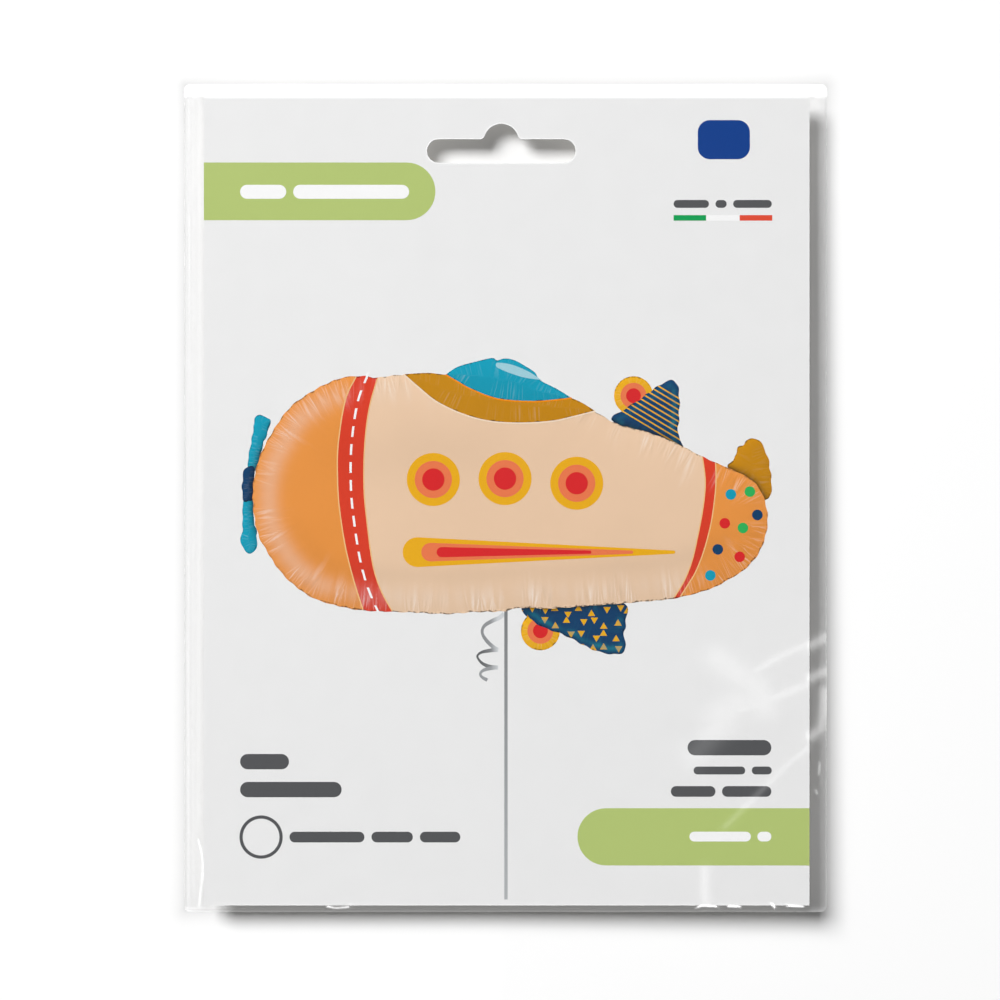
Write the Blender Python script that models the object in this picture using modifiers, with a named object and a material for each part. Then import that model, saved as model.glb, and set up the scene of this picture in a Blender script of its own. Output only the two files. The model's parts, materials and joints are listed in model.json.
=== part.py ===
"""Packed airplane foil balloon: a clear film bag with a hang slot, an insert card, and the folded balloon.

Units are metres. The pack hangs upright: +X is to the right seen from the front, the front faces -Y, and
+Z is up. The origin is the highest point of the hang slot, where a display peg carries the pack, at the
middle of the card. Depths are Y values. The stack from front to back is front film, card, folded balloon,
small foil pieces, back film.
"""

import math

import bmesh
import bpy

MM = 0.001

# Hang slot: a straight slot with round ends and a round bump over its middle.
SLOT_WIDTH = 32.0 * MM
SLOT_HEIGHT = 5.1 * MM
SLOT_BOTTOM = -8.4 * MM
BUMP_RADIUS = 3.8 * MM
BUMP_FILLET = 1.0 * MM
BUMP_FILLET_STEPS = 4

# Insert card.
CARD_WIDTH = 130.1 * MM
CARD_HEIGHT = 173.7 * MM
CARD_TOP = 5.8 * MM
CARD_CENTRE_X = 1.15 * MM
CARD_THICKNESS = 0.5 * MM

# Film bag.
BAG_WIDTH = 138.2 * MM
BAG_HEIGHT = 178.0 * MM
BAG_TOP = 8.6 * MM
BAG_CENTRE_X = 0.9 * MM
BAG_CORNER = 1.4 * MM
FILM = 0.1 * MM
SEAM_WIDTH = 0.5 * MM

# Clearance between neighbours that rest on each other.
GAP = 0.3 * MM

# Pocket that the back film forms over the bundle: distance outside the bundle's edge at each level.
POCKET_FOOT = 5.0 * MM
POCKET_SHOULDER = 1.5 * MM
POCKET_CREST = -1.0 * MM
POCKET_CORNER = 6.0 * MM

ARC_STEPS = 8
CUT_MARGIN = 3.0 * MM
END_CUT_DEPTH = 1.0 * MM
WELD_DISTANCE = 0.001 * MM

# Folded balloon: the body is folded to this height, then folded in from both ends in narrow passes.
BUNDLE_LEFT = -58.0 * MM
BUNDLE_RIGHT = 60.0 * MM
BUNDLE_TOP = -19.0 * MM
BUNDLE_HEIGHT = 142.0 * MM
PASS_THICKNESS = 0.25 * MM
SLIT = 0.13 * MM
PASSES = 6
PILE_GAP = 2.4 * MM
FOLD_STEP = 0.35 * MM
FOLD_STEPS = 6
NOSE_SAGITTA = 12.5 * MM
PIECE_THICKNESS = 0.25 * MM

CARD_FRONT = -CARD_THICKNESS / 2
CARD_BACK = CARD_THICKNESS / 2
RIM_DEPTH = GAP / 2
BUNDLE_FRONT = CARD_BACK + GAP
PASS_PITCH = PASS_THICKNESS + SLIT
BUNDLE_BACK = BUNDLE_FRONT + PASSES * PASS_PITCH + PASS_THICKNESS
PIECE_FRONT = BUNDLE_BACK + GAP
PIECE_BACK = PIECE_FRONT + PIECE_THICKNESS
POCKET_DEPTH = PIECE_BACK + GAP
BUNDLE_WIDTH = BUNDLE_RIGHT - BUNDLE_LEFT
BUNDLE_CENTRE_X = (BUNDLE_LEFT + BUNDLE_RIGHT) / 2
BUNDLE_CENTRE_Z = BUNDLE_TOP - BUNDLE_HEIGHT / 2
BUNDLE_BOTTOM = BUNDLE_TOP - BUNDLE_HEIGHT

NOSE_ARC_HALF = BUNDLE_HEIGHT / 2 + CUT_MARGIN
FREE_EDGE_INSET = 0.5 * MM
TAIL_SLOPE_START = 16.0 * MM
TAIL_SHOULDER = 3.0 * MM
TAIL_RADIUS = 22.0 * MM
TAIL_DROP = 30.0 * MM
TAIL_RUN_OUT = 4.0 * MM
TAIL_ARC_STEEP = 70
TAIL_ARC_SHALLOW = 8

# Flat pieces folded in over the bundle, in millimetres and degrees. Each row holds the name, the place (x, z)
# of its root on the balloon's weld, how far it leans about that place, its material, and its corners as
# (x, z, corner radius) from there. A wing's root lies along the top or bottom fold, its tip points inward.
FLAPS = (
    ("wing_upper", (-7.0, -22.4), -4.0, "navy foil", ((-23, 0, 3), (23, 0, 3), (13, -47, 8), (-11, -43, 8))),
    ("wing_lower", (-4.0, -157.3), 4.0, "navy foil", ((-25, 0, 3), (25, 0, 3), (14, 37, 8), (-17, 42, 8))),
    ("tail_fin", (36.0, -26.0), 9.0, "gold foil", ((-10, 0, 4), (12, 0, 4), (15, -38, 7), (-4, -43, 6))),
    (
        "filling_neck", (36.0, -159.5), -3.0, "clear neck",
        ((-7, 0, 1.5), (7, 0, 1.5), (4.5, 34, 3), (-4.5, 34, 3)),
    ),
)

# Round foil pads: name, centre (x, z), radius, material, in millimetres.
PADS = (
    ("propeller_hub", (-43.5, -90.0), 7.0, "navy foil"),
    ("engine_pad_upper", (-24.0, -79.0), 8.5, "gold foil"),
    ("engine_pad_lower", (17.5, -108.0), 8.5, "gold foil"),
)
PAD_SIDES = 24

# Propeller blades: name, and the way the blade points along Z before the propeller leans. A blade's outline
# runs around a small circle at its root and a larger one at its tip.
BLADES = (("propeller_blade_upper", 1.0), ("propeller_blade_lower", -1.0))
PROPELLER_LEAN = 3.0
BLADE_ROOT_RADIUS = 5.0 * MM
BLADE_TIP_RADIUS = 9.5 * MM
BLADE_ROOT_DISTANCE = 12.6 * MM
BLADE_TIP_DISTANCE = 49.0 * MM

# Materials: name, colour, roughness, metallic, alpha.
MATERIALS = (
    ("clear film", (0.95, 0.96, 0.97), 0.08, 0.0, 0.2),
    ("white card", (0.84, 0.84, 0.84), 0.55, 0.0, 1.0),
    ("orange foil", (0.80, 0.31, 0.08), 0.30, 0.8, 1.0),
    ("navy foil", (0.01, 0.05, 0.13), 0.30, 0.8, 1.0),
    ("teal foil", (0.01, 0.33, 0.50), 0.30, 0.8, 1.0),
    ("gold foil", (0.60, 0.36, 0.04), 0.30, 0.8, 1.0),
    ("clear neck", (0.80, 0.82, 0.84), 0.25, 0.0, 0.6),
)


def clear_scene():
    for obj in list(bpy.data.objects):
        bpy.data.objects.remove(obj, do_unlink=True)


def add_collection(name):
    collection = bpy.data.collections.new(name)
    bpy.context.scene.collection.children.link(collection)
    return collection


def add_material(name, colour, roughness, metallic, alpha):
    material = bpy.data.materials.new(name)
    material.use_nodes = True
    shader = material.node_tree.nodes["Principled BSDF"]
    shader.inputs["Base Color"].default_value = (*colour, 1.0)
    shader.inputs["Roughness"].default_value = roughness
    shader.inputs["Metallic"].default_value = metallic
    shader.inputs["Alpha"].default_value = alpha
    return material


def arc(centre_x, centre_y, radius, start, end, steps=ARC_STEPS):
    """Points on a circle from one angle to another, in degrees."""
    angles = (math.radians(start + (end - start) * i / steps) for i in range(steps + 1))
    return [(centre_x + radius * math.cos(a), centre_y + radius * math.sin(a)) for a in angles]


def rounded_polygon(corners, steps=ARC_STEPS):
    """The outline through (x, y, radius) corners, each replaced by an arc of its radius."""
    points = []
    for i, (x, y, radius) in enumerate(corners):
        before = corners[i - 1]
        after = corners[(i + 1) % len(corners)]
        if not radius:
            points.append((x, y))
            continue
        to_before = math.atan2(before[1] - y, before[0] - x)
        to_after = math.atan2(after[1] - y, after[0] - x)
        opening = (to_after - to_before + math.pi) % (2 * math.pi) - math.pi
        middle = to_before + opening / 2
        reach = radius / math.sin(abs(opening) / 2)
        centre = (x + reach * math.cos(middle), y + reach * math.sin(middle))
        turn = math.pi - abs(opening)
        facing = middle + math.pi
        sweep = turn / 2 if opening < 0 else -turn / 2
        first, last = math.degrees(facing - sweep), math.degrees(facing + sweep)
        points += arc(*centre, radius, first, last, steps)
    return points


def rounded_rectangle(centre_x, centre_y, width, height, radius):
    right, left = centre_x + width / 2, centre_x - width / 2
    top, bottom = centre_y + height / 2, centre_y - height / 2
    corners = ((left, bottom, radius), (right, bottom, radius), (right, top, radius), (left, top, radius))
    return rounded_polygon(corners)


def blade_outline(direction):
    """The outline around a blade's root circle and its larger tip circle, pointing up (1) or down (-1)."""
    length = BLADE_TIP_DISTANCE - BLADE_ROOT_DISTANCE
    flare = math.degrees(math.asin((BLADE_TIP_RADIUS - BLADE_ROOT_RADIUS) / length))
    tip = arc(0.0, BLADE_TIP_DISTANCE, BLADE_TIP_RADIUS, -flare, 180 + flare, 2 * ARC_STEPS)
    root = arc(0.0, BLADE_ROOT_DISTANCE, BLADE_ROOT_RADIUS, 180 + flare, 360 - flare)
    return [(direction * x, direction * z) for x, z in tip + root]


def slot_outline():
    end_radius = SLOT_HEIGHT / 2
    slot_top = SLOT_BOTTOM + SLOT_HEIGHT
    end_x = SLOT_WIDTH / 2 - end_radius
    middle = SLOT_BOTTOM + end_radius
    rise = slot_top + BUMP_FILLET + BUMP_RADIUS
    fillet_x = math.sqrt((BUMP_RADIUS + BUMP_FILLET) ** 2 - rise**2)
    fillet_y = slot_top + BUMP_FILLET
    touch = math.degrees(math.atan2(rise, fillet_x))
    return (
        arc(end_x, middle, end_radius, -90, 90)
        + arc(fillet_x, fillet_y, BUMP_FILLET, 270, 180 + touch, BUMP_FILLET_STEPS)
        + arc(0.0, -BUMP_RADIUS, BUMP_RADIUS, touch, 180 - touch, 2 * ARC_STEPS)
        + arc(-fillet_x, fillet_y, BUMP_FILLET, -touch, -90, BUMP_FILLET_STEPS)
        + arc(-end_x, middle, end_radius, 90, 270)
    )


def add_curve(name, outlines, thickness, collection):
    """A flat outline, with holes if more outlines follow, filled and given a thickness along its own Z."""
    curve = bpy.data.curves.new(name, "CURVE")
    curve.dimensions = "2D"
    curve.fill_mode = "BOTH"
    curve.extrude = thickness / 2
    for outline in outlines:
        spline = curve.splines.new("POLY")
        spline.points.add(len(outline) - 1)
        for point, (x, y) in zip(spline.points, outline):
            point.co = (x, y, 0.0, 1.0)
        spline.use_cyclic_u = True
    obj = bpy.data.objects.new(name, curve)
    collection.objects.link(obj)
    return obj


def add_plate(name, outlines, front, thickness, collection, place=(0.0, 0.0), lean=0.0):
    """An upright plate, its outline in X and Z from a place and leaning there, its front face at a depth."""
    obj = add_curve(name, outlines, thickness, collection)
    obj.rotation_euler = (math.pi / 2, math.radians(lean), 0.0)
    obj.location = (place[0], front + thickness / 2, place[1])
    return obj


def made_mesh(obj, collection):
    """The same shape as a mesh object, with its caps welded to its sides."""
    bpy.context.view_layer.update()
    evaluated = obj.evaluated_get(bpy.context.evaluated_depsgraph_get())
    mesh = bpy.data.meshes.new_from_object(evaluated)
    welded = bmesh.new()
    welded.from_mesh(mesh)
    bmesh.ops.remove_doubles(welded, verts=welded.verts, dist=WELD_DISTANCE)
    bmesh.ops.recalc_face_normals(welded, faces=welded.faces)
    welded.to_mesh(mesh)
    welded.free()
    name = obj.name
    place = obj.matrix_world.copy()
    bpy.data.objects.remove(obj)
    result = bpy.data.objects.new(name, mesh)
    result.matrix_world = place
    collection.objects.link(result)
    return result


def cut(obj, cutter):
    modifier = obj.modifiers.new("cut " + cutter.name, "BOOLEAN")
    modifier.operation = "DIFFERENCE"
    modifier.solver = "EXACT"
    modifier.object = cutter


def as_cutter(obj):
    obj.hide_render = True
    obj.display_type = "WIRE"
    return obj


def ring(centre_x, centre_z, width, height, radius, depth):
    return [(x, depth, z) for x, z in rounded_rectangle(centre_x, centre_z, width, height, radius)]


def grown_card_ring(grow, depth):
    centre_z = CARD_TOP - CARD_HEIGHT / 2
    return ring(CARD_CENTRE_X, centre_z, CARD_WIDTH + 2 * grow, CARD_HEIGHT + 2 * grow, grow, depth)


def bag_ring(inset, depth):
    centre_z = BAG_TOP - BAG_HEIGHT / 2
    size = (BAG_WIDTH - 2 * inset, BAG_HEIGHT - 2 * inset)
    return ring(BAG_CENTRE_X, centre_z, *size, BAG_CORNER - inset, depth)


def pocket_ring(grow, depth):
    size = (BUNDLE_WIDTH + 2 * grow, BUNDLE_HEIGHT + 2 * grow)
    return ring(BUNDLE_CENTRE_X, BUNDLE_CENTRE_Z, *size, POCKET_CORNER, depth)


def add_sheet(name, rings, outward, collection):
    """A film sheet lofted over rings of equal point count, thickened outward along Y (1 or -1)."""
    loft = bmesh.new()
    rows = [[loft.verts.new(point) for point in row] for row in rings]
    for row, following in zip(rows, rows[1:]):
        for i in range(len(row)):
            loft.faces.new((row[i - 1], row[i], following[i], following[i - 1]))
    loft.faces.new(rows[-1])
    bmesh.ops.recalc_face_normals(loft, faces=loft.faces)
    loft.faces.ensure_lookup_table()
    if loft.faces[-1].normal.y * outward < 0:
        bmesh.ops.reverse_faces(loft, faces=loft.faces)
    mesh = bpy.data.meshes.new(name)
    loft.to_mesh(mesh)
    loft.free()
    obj = bpy.data.objects.new(name, mesh)
    collection.objects.link(obj)
    solidify = obj.modifiers.new("film thickness", "SOLIDIFY")
    solidify.thickness = FILM
    solidify.offset = 1.0
    return obj


def add_bag(collection, slot_cutter):
    card_edge = CARD_THICKNESS / 2 + GAP
    front = [bag_ring(0.0, -RIM_DEPTH), bag_ring(SEAM_WIDTH, -RIM_DEPTH), grown_card_ring(GAP, -card_edge)]
    back = [bag_ring(0.0, RIM_DEPTH), bag_ring(SEAM_WIDTH, RIM_DEPTH), grown_card_ring(GAP, card_edge)]
    back += [
        pocket_ring(POCKET_FOOT, card_edge),
        pocket_ring(POCKET_SHOULDER, BUNDLE_BACK + PASS_THICKNESS / 2),
        pocket_ring(POCKET_CREST, POCKET_DEPTH),
    ]
    sheets = [
        add_sheet("bag_front_film", front, -1.0, collection),
        add_sheet("bag_back_film", back, 1.0, collection),
    ]
    for sheet in sheets:
        cut(sheet, slot_cutter)
    return sheets


def add_card(collection):
    left, right = CARD_CENTRE_X - CARD_WIDTH / 2, CARD_CENTRE_X + CARD_WIDTH / 2
    bottom = CARD_TOP - CARD_HEIGHT
    outline = [(left, bottom), (right, bottom), (right, CARD_TOP), (left, CARD_TOP)]
    return add_plate("insert_card", [outline, slot_outline()], CARD_FRONT, CARD_THICKNESS, collection)


def pass_depth(level):
    """Depth of the middle of a pass, counted from the one on the card."""
    return BUNDLE_FRONT + PASS_THICKNESS / 2 + level * PASS_PITCH


def folded_half(side):
    """The fold path of one pile, from the middle of the bottom pass to the free end, as (x, y, direction)."""
    outer_edge = BUNDLE_RIGHT if side > 0 else BUNDLE_LEFT
    inner_edge = BUNDLE_CENTRE_X + side * PILE_GAP / 2
    bend = PASS_PITCH / 2
    along = 0.0 if side > 0 else math.pi
    path = [(BUNDLE_CENTRE_X, pass_depth(0), along)]
    for level in range(PASSES):
        outward = level % 2 == 0
        centre_y = pass_depth(level) + bend
        if outward:
            centre_x = outer_edge - side * (bend + PASS_THICKNESS / 2 + level * FOLD_STEP / 2)
        else:
            centre_x = inner_edge + side * (bend + PASS_THICKNESS / 2)
        for i in range(FOLD_STEPS + 1):
            turn = math.pi * i / FOLD_STEPS
            facing = side if outward else -side
            x = centre_x + facing * bend * math.sin(turn)
            y = centre_y - bend * math.cos(turn)
            heading = turn if facing > 0 else math.pi - turn
            path.append((x, y, heading))
    path.append((outer_edge - side * PASSES * FOLD_STEP / 2, pass_depth(PASSES), along))
    return path


def fold_outline():
    """The closed outline around the whole fold path, half a pass thickness to each side of it."""
    tail = folded_half(1.0)
    nose = [(x, y, heading + math.pi) for x, y, heading in reversed(folded_half(-1.0)[1:])]
    half = PASS_THICKNESS / 2
    path = nose + tail[1:]
    above = [(x - half * math.sin(a), y + half * math.cos(a)) for x, y, a in path]
    below = [(x + half * math.sin(a), y - half * math.cos(a)) for x, y, a in path]
    return above + below[::-1]


def nose_end():
    """The curved free edge of the top pass of the nose pile, from above the bundle to below it."""
    radius = (NOSE_ARC_HALF**2 + NOSE_SAGITTA**2) / (2 * NOSE_SAGITTA)
    reach = math.degrees(math.asin(NOSE_ARC_HALF / radius))
    tip = BUNDLE_LEFT + PASSES * FOLD_STEP / 2 + FREE_EDGE_INSET
    return arc(tip + radius, BUNDLE_CENTRE_Z, radius, 180 - reach, 180 + reach, 2 * ARC_STEPS)


def tail_end():
    """The tapered, rounded free edge of the top pass of the tail pile, from above the bundle to below it."""
    tip = BUNDLE_RIGHT - PASSES * FOLD_STEP / 2 - FREE_EDGE_INSET
    slope_start = BUNDLE_CENTRE_X + TAIL_SLOPE_START
    run_out = slope_start - TAIL_RUN_OUT
    arc_x = tip - TAIL_SHOULDER - TAIL_RADIUS
    return (
        [(run_out, BUNDLE_TOP + CUT_MARGIN), (slope_start, BUNDLE_TOP)]
        + arc(arc_x, BUNDLE_TOP - TAIL_DROP, TAIL_RADIUS, TAIL_ARC_STEEP, TAIL_ARC_SHALLOW)
        + arc(arc_x, BUNDLE_BOTTOM + TAIL_DROP, TAIL_RADIUS, -TAIL_ARC_SHALLOW, -TAIL_ARC_STEEP)
        + [(slope_start, BUNDLE_BOTTOM), (run_out, BUNDLE_BOTTOM - CUT_MARGIN)]
    )


def add_end_cutter(name, edge, outer_x, collection):
    """A cutter for everything outside a free edge, as deep as the top pass only."""
    outline = edge + [(outer_x, edge[-1][1]), (outer_x, edge[0][1])]
    front = pass_depth(PASSES) - PASS_THICKNESS / 2 - SLIT / 2
    plate = add_plate(name, [outline], front, END_CUT_DEPTH, collection)
    return as_cutter(made_mesh(plate, collection))


def add_envelope(collection, cutters):
    solid = add_curve("envelope", [fold_outline()], BUNDLE_HEIGHT, collection)
    solid.location.z = BUNDLE_CENTRE_Z
    envelope = made_mesh(solid, collection)
    cut(envelope, add_end_cutter("nose_cutter", nose_end(), BUNDLE_LEFT - CUT_MARGIN, cutters))
    cut(envelope, add_end_cutter("tail_cutter", tail_end(), BUNDLE_RIGHT + CUT_MARGIN, cutters))
    return envelope


def in_metres(place):
    return (place[0] * MM, place[1] * MM)


def add_small_pieces(collection):
    """The flat pieces that lie on the back of the bundle, as (object, material name)."""
    at_back = (PIECE_FRONT, PIECE_THICKNESS, collection)
    pieces = []
    for name, place, lean, material, corners in FLAPS:
        outline = rounded_polygon([(x * MM, z * MM, radius * MM) for x, z, radius in corners])
        pieces.append((add_plate(name, [outline], *at_back, in_metres(place), lean), material))
    for name, centre, radius, material in PADS:
        outline = arc(0.0, 0.0, radius * MM, 0, 360 - 360 / PAD_SIDES, PAD_SIDES - 1)
        pieces.append((add_plate(name, [outline], *at_back, in_metres(centre)), material))
    for name, direction in BLADES:
        outline = blade_outline(direction)
        blade = add_plate(name, [outline], *at_back, in_metres(PADS[0][1]), PROPELLER_LEAN)
        pieces.append((blade, "teal foil"))
    return pieces


def build():
    clear_scene()
    parts = add_collection("packed airplane foil balloon")
    cutters = add_collection("cutters")
    materials = {row[0]: add_material(*row) for row in MATERIALS}
    slot_plate = add_plate("slot_cutter", [slot_outline()], -CUT_MARGIN, 2 * CUT_MARGIN, cutters)
    slot_cutter = as_cutter(made_mesh(slot_plate, cutters))
    finished = [(sheet, "clear film") for sheet in add_bag(parts, slot_cutter)]
    finished.append((add_card(parts), "white card"))
    finished.append((add_envelope(parts, cutters), "orange foil"))
    finished += add_small_pieces(parts)
    for obj, material in finished:
        obj.data.materials.append(materials[material])


build()
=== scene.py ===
"""Looks of a packed airplane foil balloon: a clear film bag, a printed card, and the balloon folded behind.

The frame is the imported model's: the front faces -Y, +Z is up, and the origin is the top of the hang slot.
Lengths are in millimetres, and add_mesh turns them into metres. Plan points are (x, z), a depth is a Y value.
"""

import json
import math
from functools import partial, partialmethod

import bpy
import numpy as np
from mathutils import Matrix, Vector, noise
from mathutils.geometry import delaunay_2d_cdt
from mathutils.kdtree import KDTree

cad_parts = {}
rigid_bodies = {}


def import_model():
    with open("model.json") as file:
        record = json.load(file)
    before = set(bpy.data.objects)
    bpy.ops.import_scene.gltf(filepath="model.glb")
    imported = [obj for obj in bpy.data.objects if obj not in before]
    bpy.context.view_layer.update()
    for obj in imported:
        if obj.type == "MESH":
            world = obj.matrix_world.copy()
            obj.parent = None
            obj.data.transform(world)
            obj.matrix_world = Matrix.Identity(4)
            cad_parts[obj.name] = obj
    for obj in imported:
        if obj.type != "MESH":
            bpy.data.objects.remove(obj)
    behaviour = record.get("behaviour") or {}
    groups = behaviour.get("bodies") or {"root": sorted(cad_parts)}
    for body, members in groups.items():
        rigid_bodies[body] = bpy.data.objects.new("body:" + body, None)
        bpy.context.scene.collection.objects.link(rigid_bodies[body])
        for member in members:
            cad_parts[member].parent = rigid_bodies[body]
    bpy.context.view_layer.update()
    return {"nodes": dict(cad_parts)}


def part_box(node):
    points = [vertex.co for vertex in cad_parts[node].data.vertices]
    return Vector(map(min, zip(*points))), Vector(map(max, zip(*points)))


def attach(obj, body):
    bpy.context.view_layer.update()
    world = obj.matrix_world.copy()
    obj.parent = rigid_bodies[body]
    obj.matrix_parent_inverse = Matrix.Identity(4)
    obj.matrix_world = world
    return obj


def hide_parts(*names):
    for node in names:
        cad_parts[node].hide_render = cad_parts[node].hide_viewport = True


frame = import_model()

MM = 0.001
TINY = 1e-9
NEAREST_STEP = 0.8


def box_mm(node):
    low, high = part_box(node)
    return np.array(low) / MM, np.array(high) / MM


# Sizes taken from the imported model.
CARD_LOW, CARD_HIGH = box_mm("insert_card")
FRONT_LOW, FRONT_HIGH = box_mm("bag_front_film")
BACK_HIGH = box_mm("bag_back_film")[1]
ENVELOPE_LOW, ENVELOPE_HIGH = box_mm("envelope")
CARD_FRONT, CARD_BACK = CARD_LOW[1], CARD_HIGH[1]

# The bag, as the construction has it.
FILM = 0.1
GAP = 0.3
SEAM_WIDTH = 0.5
RIM_DEPTH = 0.15
BAG_CORNER = 1.4
POCKET_FOOT = 5.0
POCKET_SHOULDER = 1.5
POCKET_CREST = -1.0
POCKET_CORNER = 6.0

# The folded balloon, as the construction has it.
PASS_THICKNESS = 0.25
PASS_PITCH = 0.38
PASSES = 6
PILE_GAP = 2.4
FOLD_STEP = 0.35
NOSE_SAGITTA = 12.5
FREE_EDGE_INSET = 0.5
TAIL_SLOPE_START = 16.0
TAIL_SHOULDER = 3.0
TAIL_RADIUS = 22.0
TAIL_DROP = 30.0

# Light that falls on the card's front, as a factor on its pigments, so that they show at the printed colour.
LIGHT_ON_CARD = 1.04

# Light that the film over the card adds to every colour.
FILM_VEIL = 0.012
WHITEST = 0.95


def linear(value):
    share = value / 255.0
    return share / 12.92 if share <= 0.04045 else ((share + 0.055) / 1.055) ** 2.4


def pigment(red, green, blue):
    """The surface colour that shows as this display colour through the film, under the light on the card."""
    shares = [max(linear(value) - FILM_VEIL, 0.0) / LIGHT_ON_CARD for value in (red, green, blue)]
    return (*np.minimum(shares, WHITEST).tolist(), 1.0)


INKS = {
    "green band": pigment(180, 198, 119),
    "grey": pigment(88, 89, 91),
    "white": pigment(248, 248, 248),
    "deep blue": pigment(5, 67, 140),
    "flag green": pigment(10, 160, 87),
    "flag red": pigment(224, 80, 58),
    "orange": pigment(230, 148, 72),
    "deep orange": pigment(238, 140, 20),
    "red": pigment(216, 66, 46),
    "cream": pigment(232, 199, 168),
    "piping": pigment(236, 190, 132),
    "pale cream": pigment(244, 222, 198),
    "ochre": pigment(196, 135, 2),
    "teal": pigment(0, 155, 182),
    "pale teal": pigment(160, 206, 218),
    "yellow": pigment(232, 172, 36),
    "coral": pigment(232, 122, 80),
    "scarlet": pigment(215, 45, 48),
    "navy": pigment(2, 66, 105),
    "green": pigment(52, 176, 92),
    "ribbon": pigment(150, 152, 154),
}


# Plane geometry.
def arc(centre, radius, start, end, steps=16):
    """Points on a circle from one angle to another, in degrees."""
    angles = np.radians(np.linspace(start, end, steps + 1))
    return np.stack([centre[0] + radius * np.cos(angles), centre[1] + radius * np.sin(angles)], 1)


def rounded_box(left, right, bottom, top, radius, steps=8):
    low, high = (left + radius, bottom + radius), (right - radius, top - radius)
    centres = ((high[0], low[1]), high, (low[0], high[1]), low)
    corners = [arc(centre, radius, 90 * i - 90, 90 * i, steps) for i, centre in enumerate(centres)]
    return np.concatenate(corners)


def smooth_through(points, steps=10, closed=True):
    """A smooth line through a few points."""
    points = np.array(points, float)
    count = len(points)
    out = []
    for i in range(count if closed else count - 1):
        around = np.arange(i - 1, i + 3)
        around = around % count if closed else np.clip(around, 0, count - 1)
        before, start, end, after = points[around]
        square, cube = 2 * before - 5 * start + 4 * end - after, 3 * start - before - 3 * end + after
        for t in np.arange(steps) / steps:
            out.append(0.5 * (2 * start + (end - before) * t + square * t**2 + cube * t**3))
    if not closed:
        out.append(points[-1])
    return np.array(out)


def smooth_line(points):
    """A fine open line through a few points."""
    return smooth_through(points, 12, False)


def sides_of(path):
    """Unit vectors square to an open line."""
    direction = np.gradient(path, axis=0)
    direction /= np.linalg.norm(direction, axis=1)[:, None]
    return np.stack([-direction[:, 1], direction[:, 0]], 1)


def strip(path, width):
    """The outline of a line of some width, which may change along it."""
    path = np.asarray(path, float)
    side = sides_of(path) * np.broadcast_to(width, len(path))[:, None] / 2
    return between(path + side, path - side)


def between(first, second):
    """The outline of the area between two lines."""
    return np.concatenate([first, second[::-1]])


def disc(centre, radius, steps):
    return arc(centre, radius, 0, 360 - 360 / steps, steps - 1)


def moved_inward(outline, middle, distance):
    inward = middle - outline
    return outline + inward / np.linalg.norm(inward, axis=1)[:, None] * distance[:, None]


def resampled(line, step, closed=True):
    """The same line with no stretch longer than the step. Its own points stay."""
    ends = np.roll(line, -1, 0) if closed else line[1:]
    starts = line if closed else line[:-1]
    out = []
    for start, end in zip(starts, ends):
        parts = max(1, math.ceil(np.linalg.norm(end - start) / step - 1e-6))
        out += [start + (end - start) * k / parts for k in range(parts)]
    if not closed:
        out.append(line[-1])
    return np.array(out)


def inside(points, loop):
    """Which points lie inside a closed loop."""
    found = np.zeros(len(points), bool)
    for (x1, z1), (x2, z2) in zip(loop, np.roll(loop, -1, 0)):
        if z1 == z2:
            continue
        crosses = (points[:, 1] < z1) != (points[:, 1] < z2)
        found ^= crosses & (points[:, 0] < x1 + (points[:, 1] - z1) / (z2 - z1) * (x2 - x1))
    return found


def nearest(points, line, closed=True):
    """For each point its distance to the line, how far along the line that is, and the direction there."""
    line = resampled(line, NEAREST_STEP, closed)
    count = len(line)
    tree = KDTree(count)
    for index, (x, z) in enumerate(line.tolist()):
        tree.insert((x, z, 0.0), index)
    tree.balance()
    closest = np.array([tree.find((x, z, 0.0))[1] for x, z in points.tolist()], int)
    spans = np.diff(line, axis=0, append=line[:1] if closed else line[-1:])
    lengths = np.hypot(spans[:, 0], spans[:, 1])
    along = np.concatenate([[0.0], np.cumsum(lengths)[:-1]])
    best = np.full(len(points), np.inf)
    place = np.zeros(len(points))
    toward = np.zeros((len(points), 2))
    for segment in (closest, closest - 1):
        segment = segment % count if closed else np.clip(segment, 0, count - 2)
        start, span, length = line[segment], spans[segment], lengths[segment]
        share = np.clip(((points - start) * span).sum(1) / np.maximum(length, TINY) ** 2, 0, 1)
        offset = start + share[:, None] * span - points
        distance = np.hypot(offset[:, 0], offset[:, 1])
        closer = distance < best
        best[closer] = distance[closer]
        place[closer] = (along[segment] + share * length)[closer]
        toward[closer] = offset[closer]
    return best, place, toward / np.maximum(best, TINY)[:, None]


def grid_points(low, high, step):
    """A triangular grid over a rectangle."""
    row = step * math.sqrt(3) / 2
    x, z = np.meshgrid(np.arange(low[0], high[0] + step, step), np.arange(low[1], high[1] + row, row))
    x[1::2] += step / 2
    return np.stack([x.ravel(), z.ravel()], 1)


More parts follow.
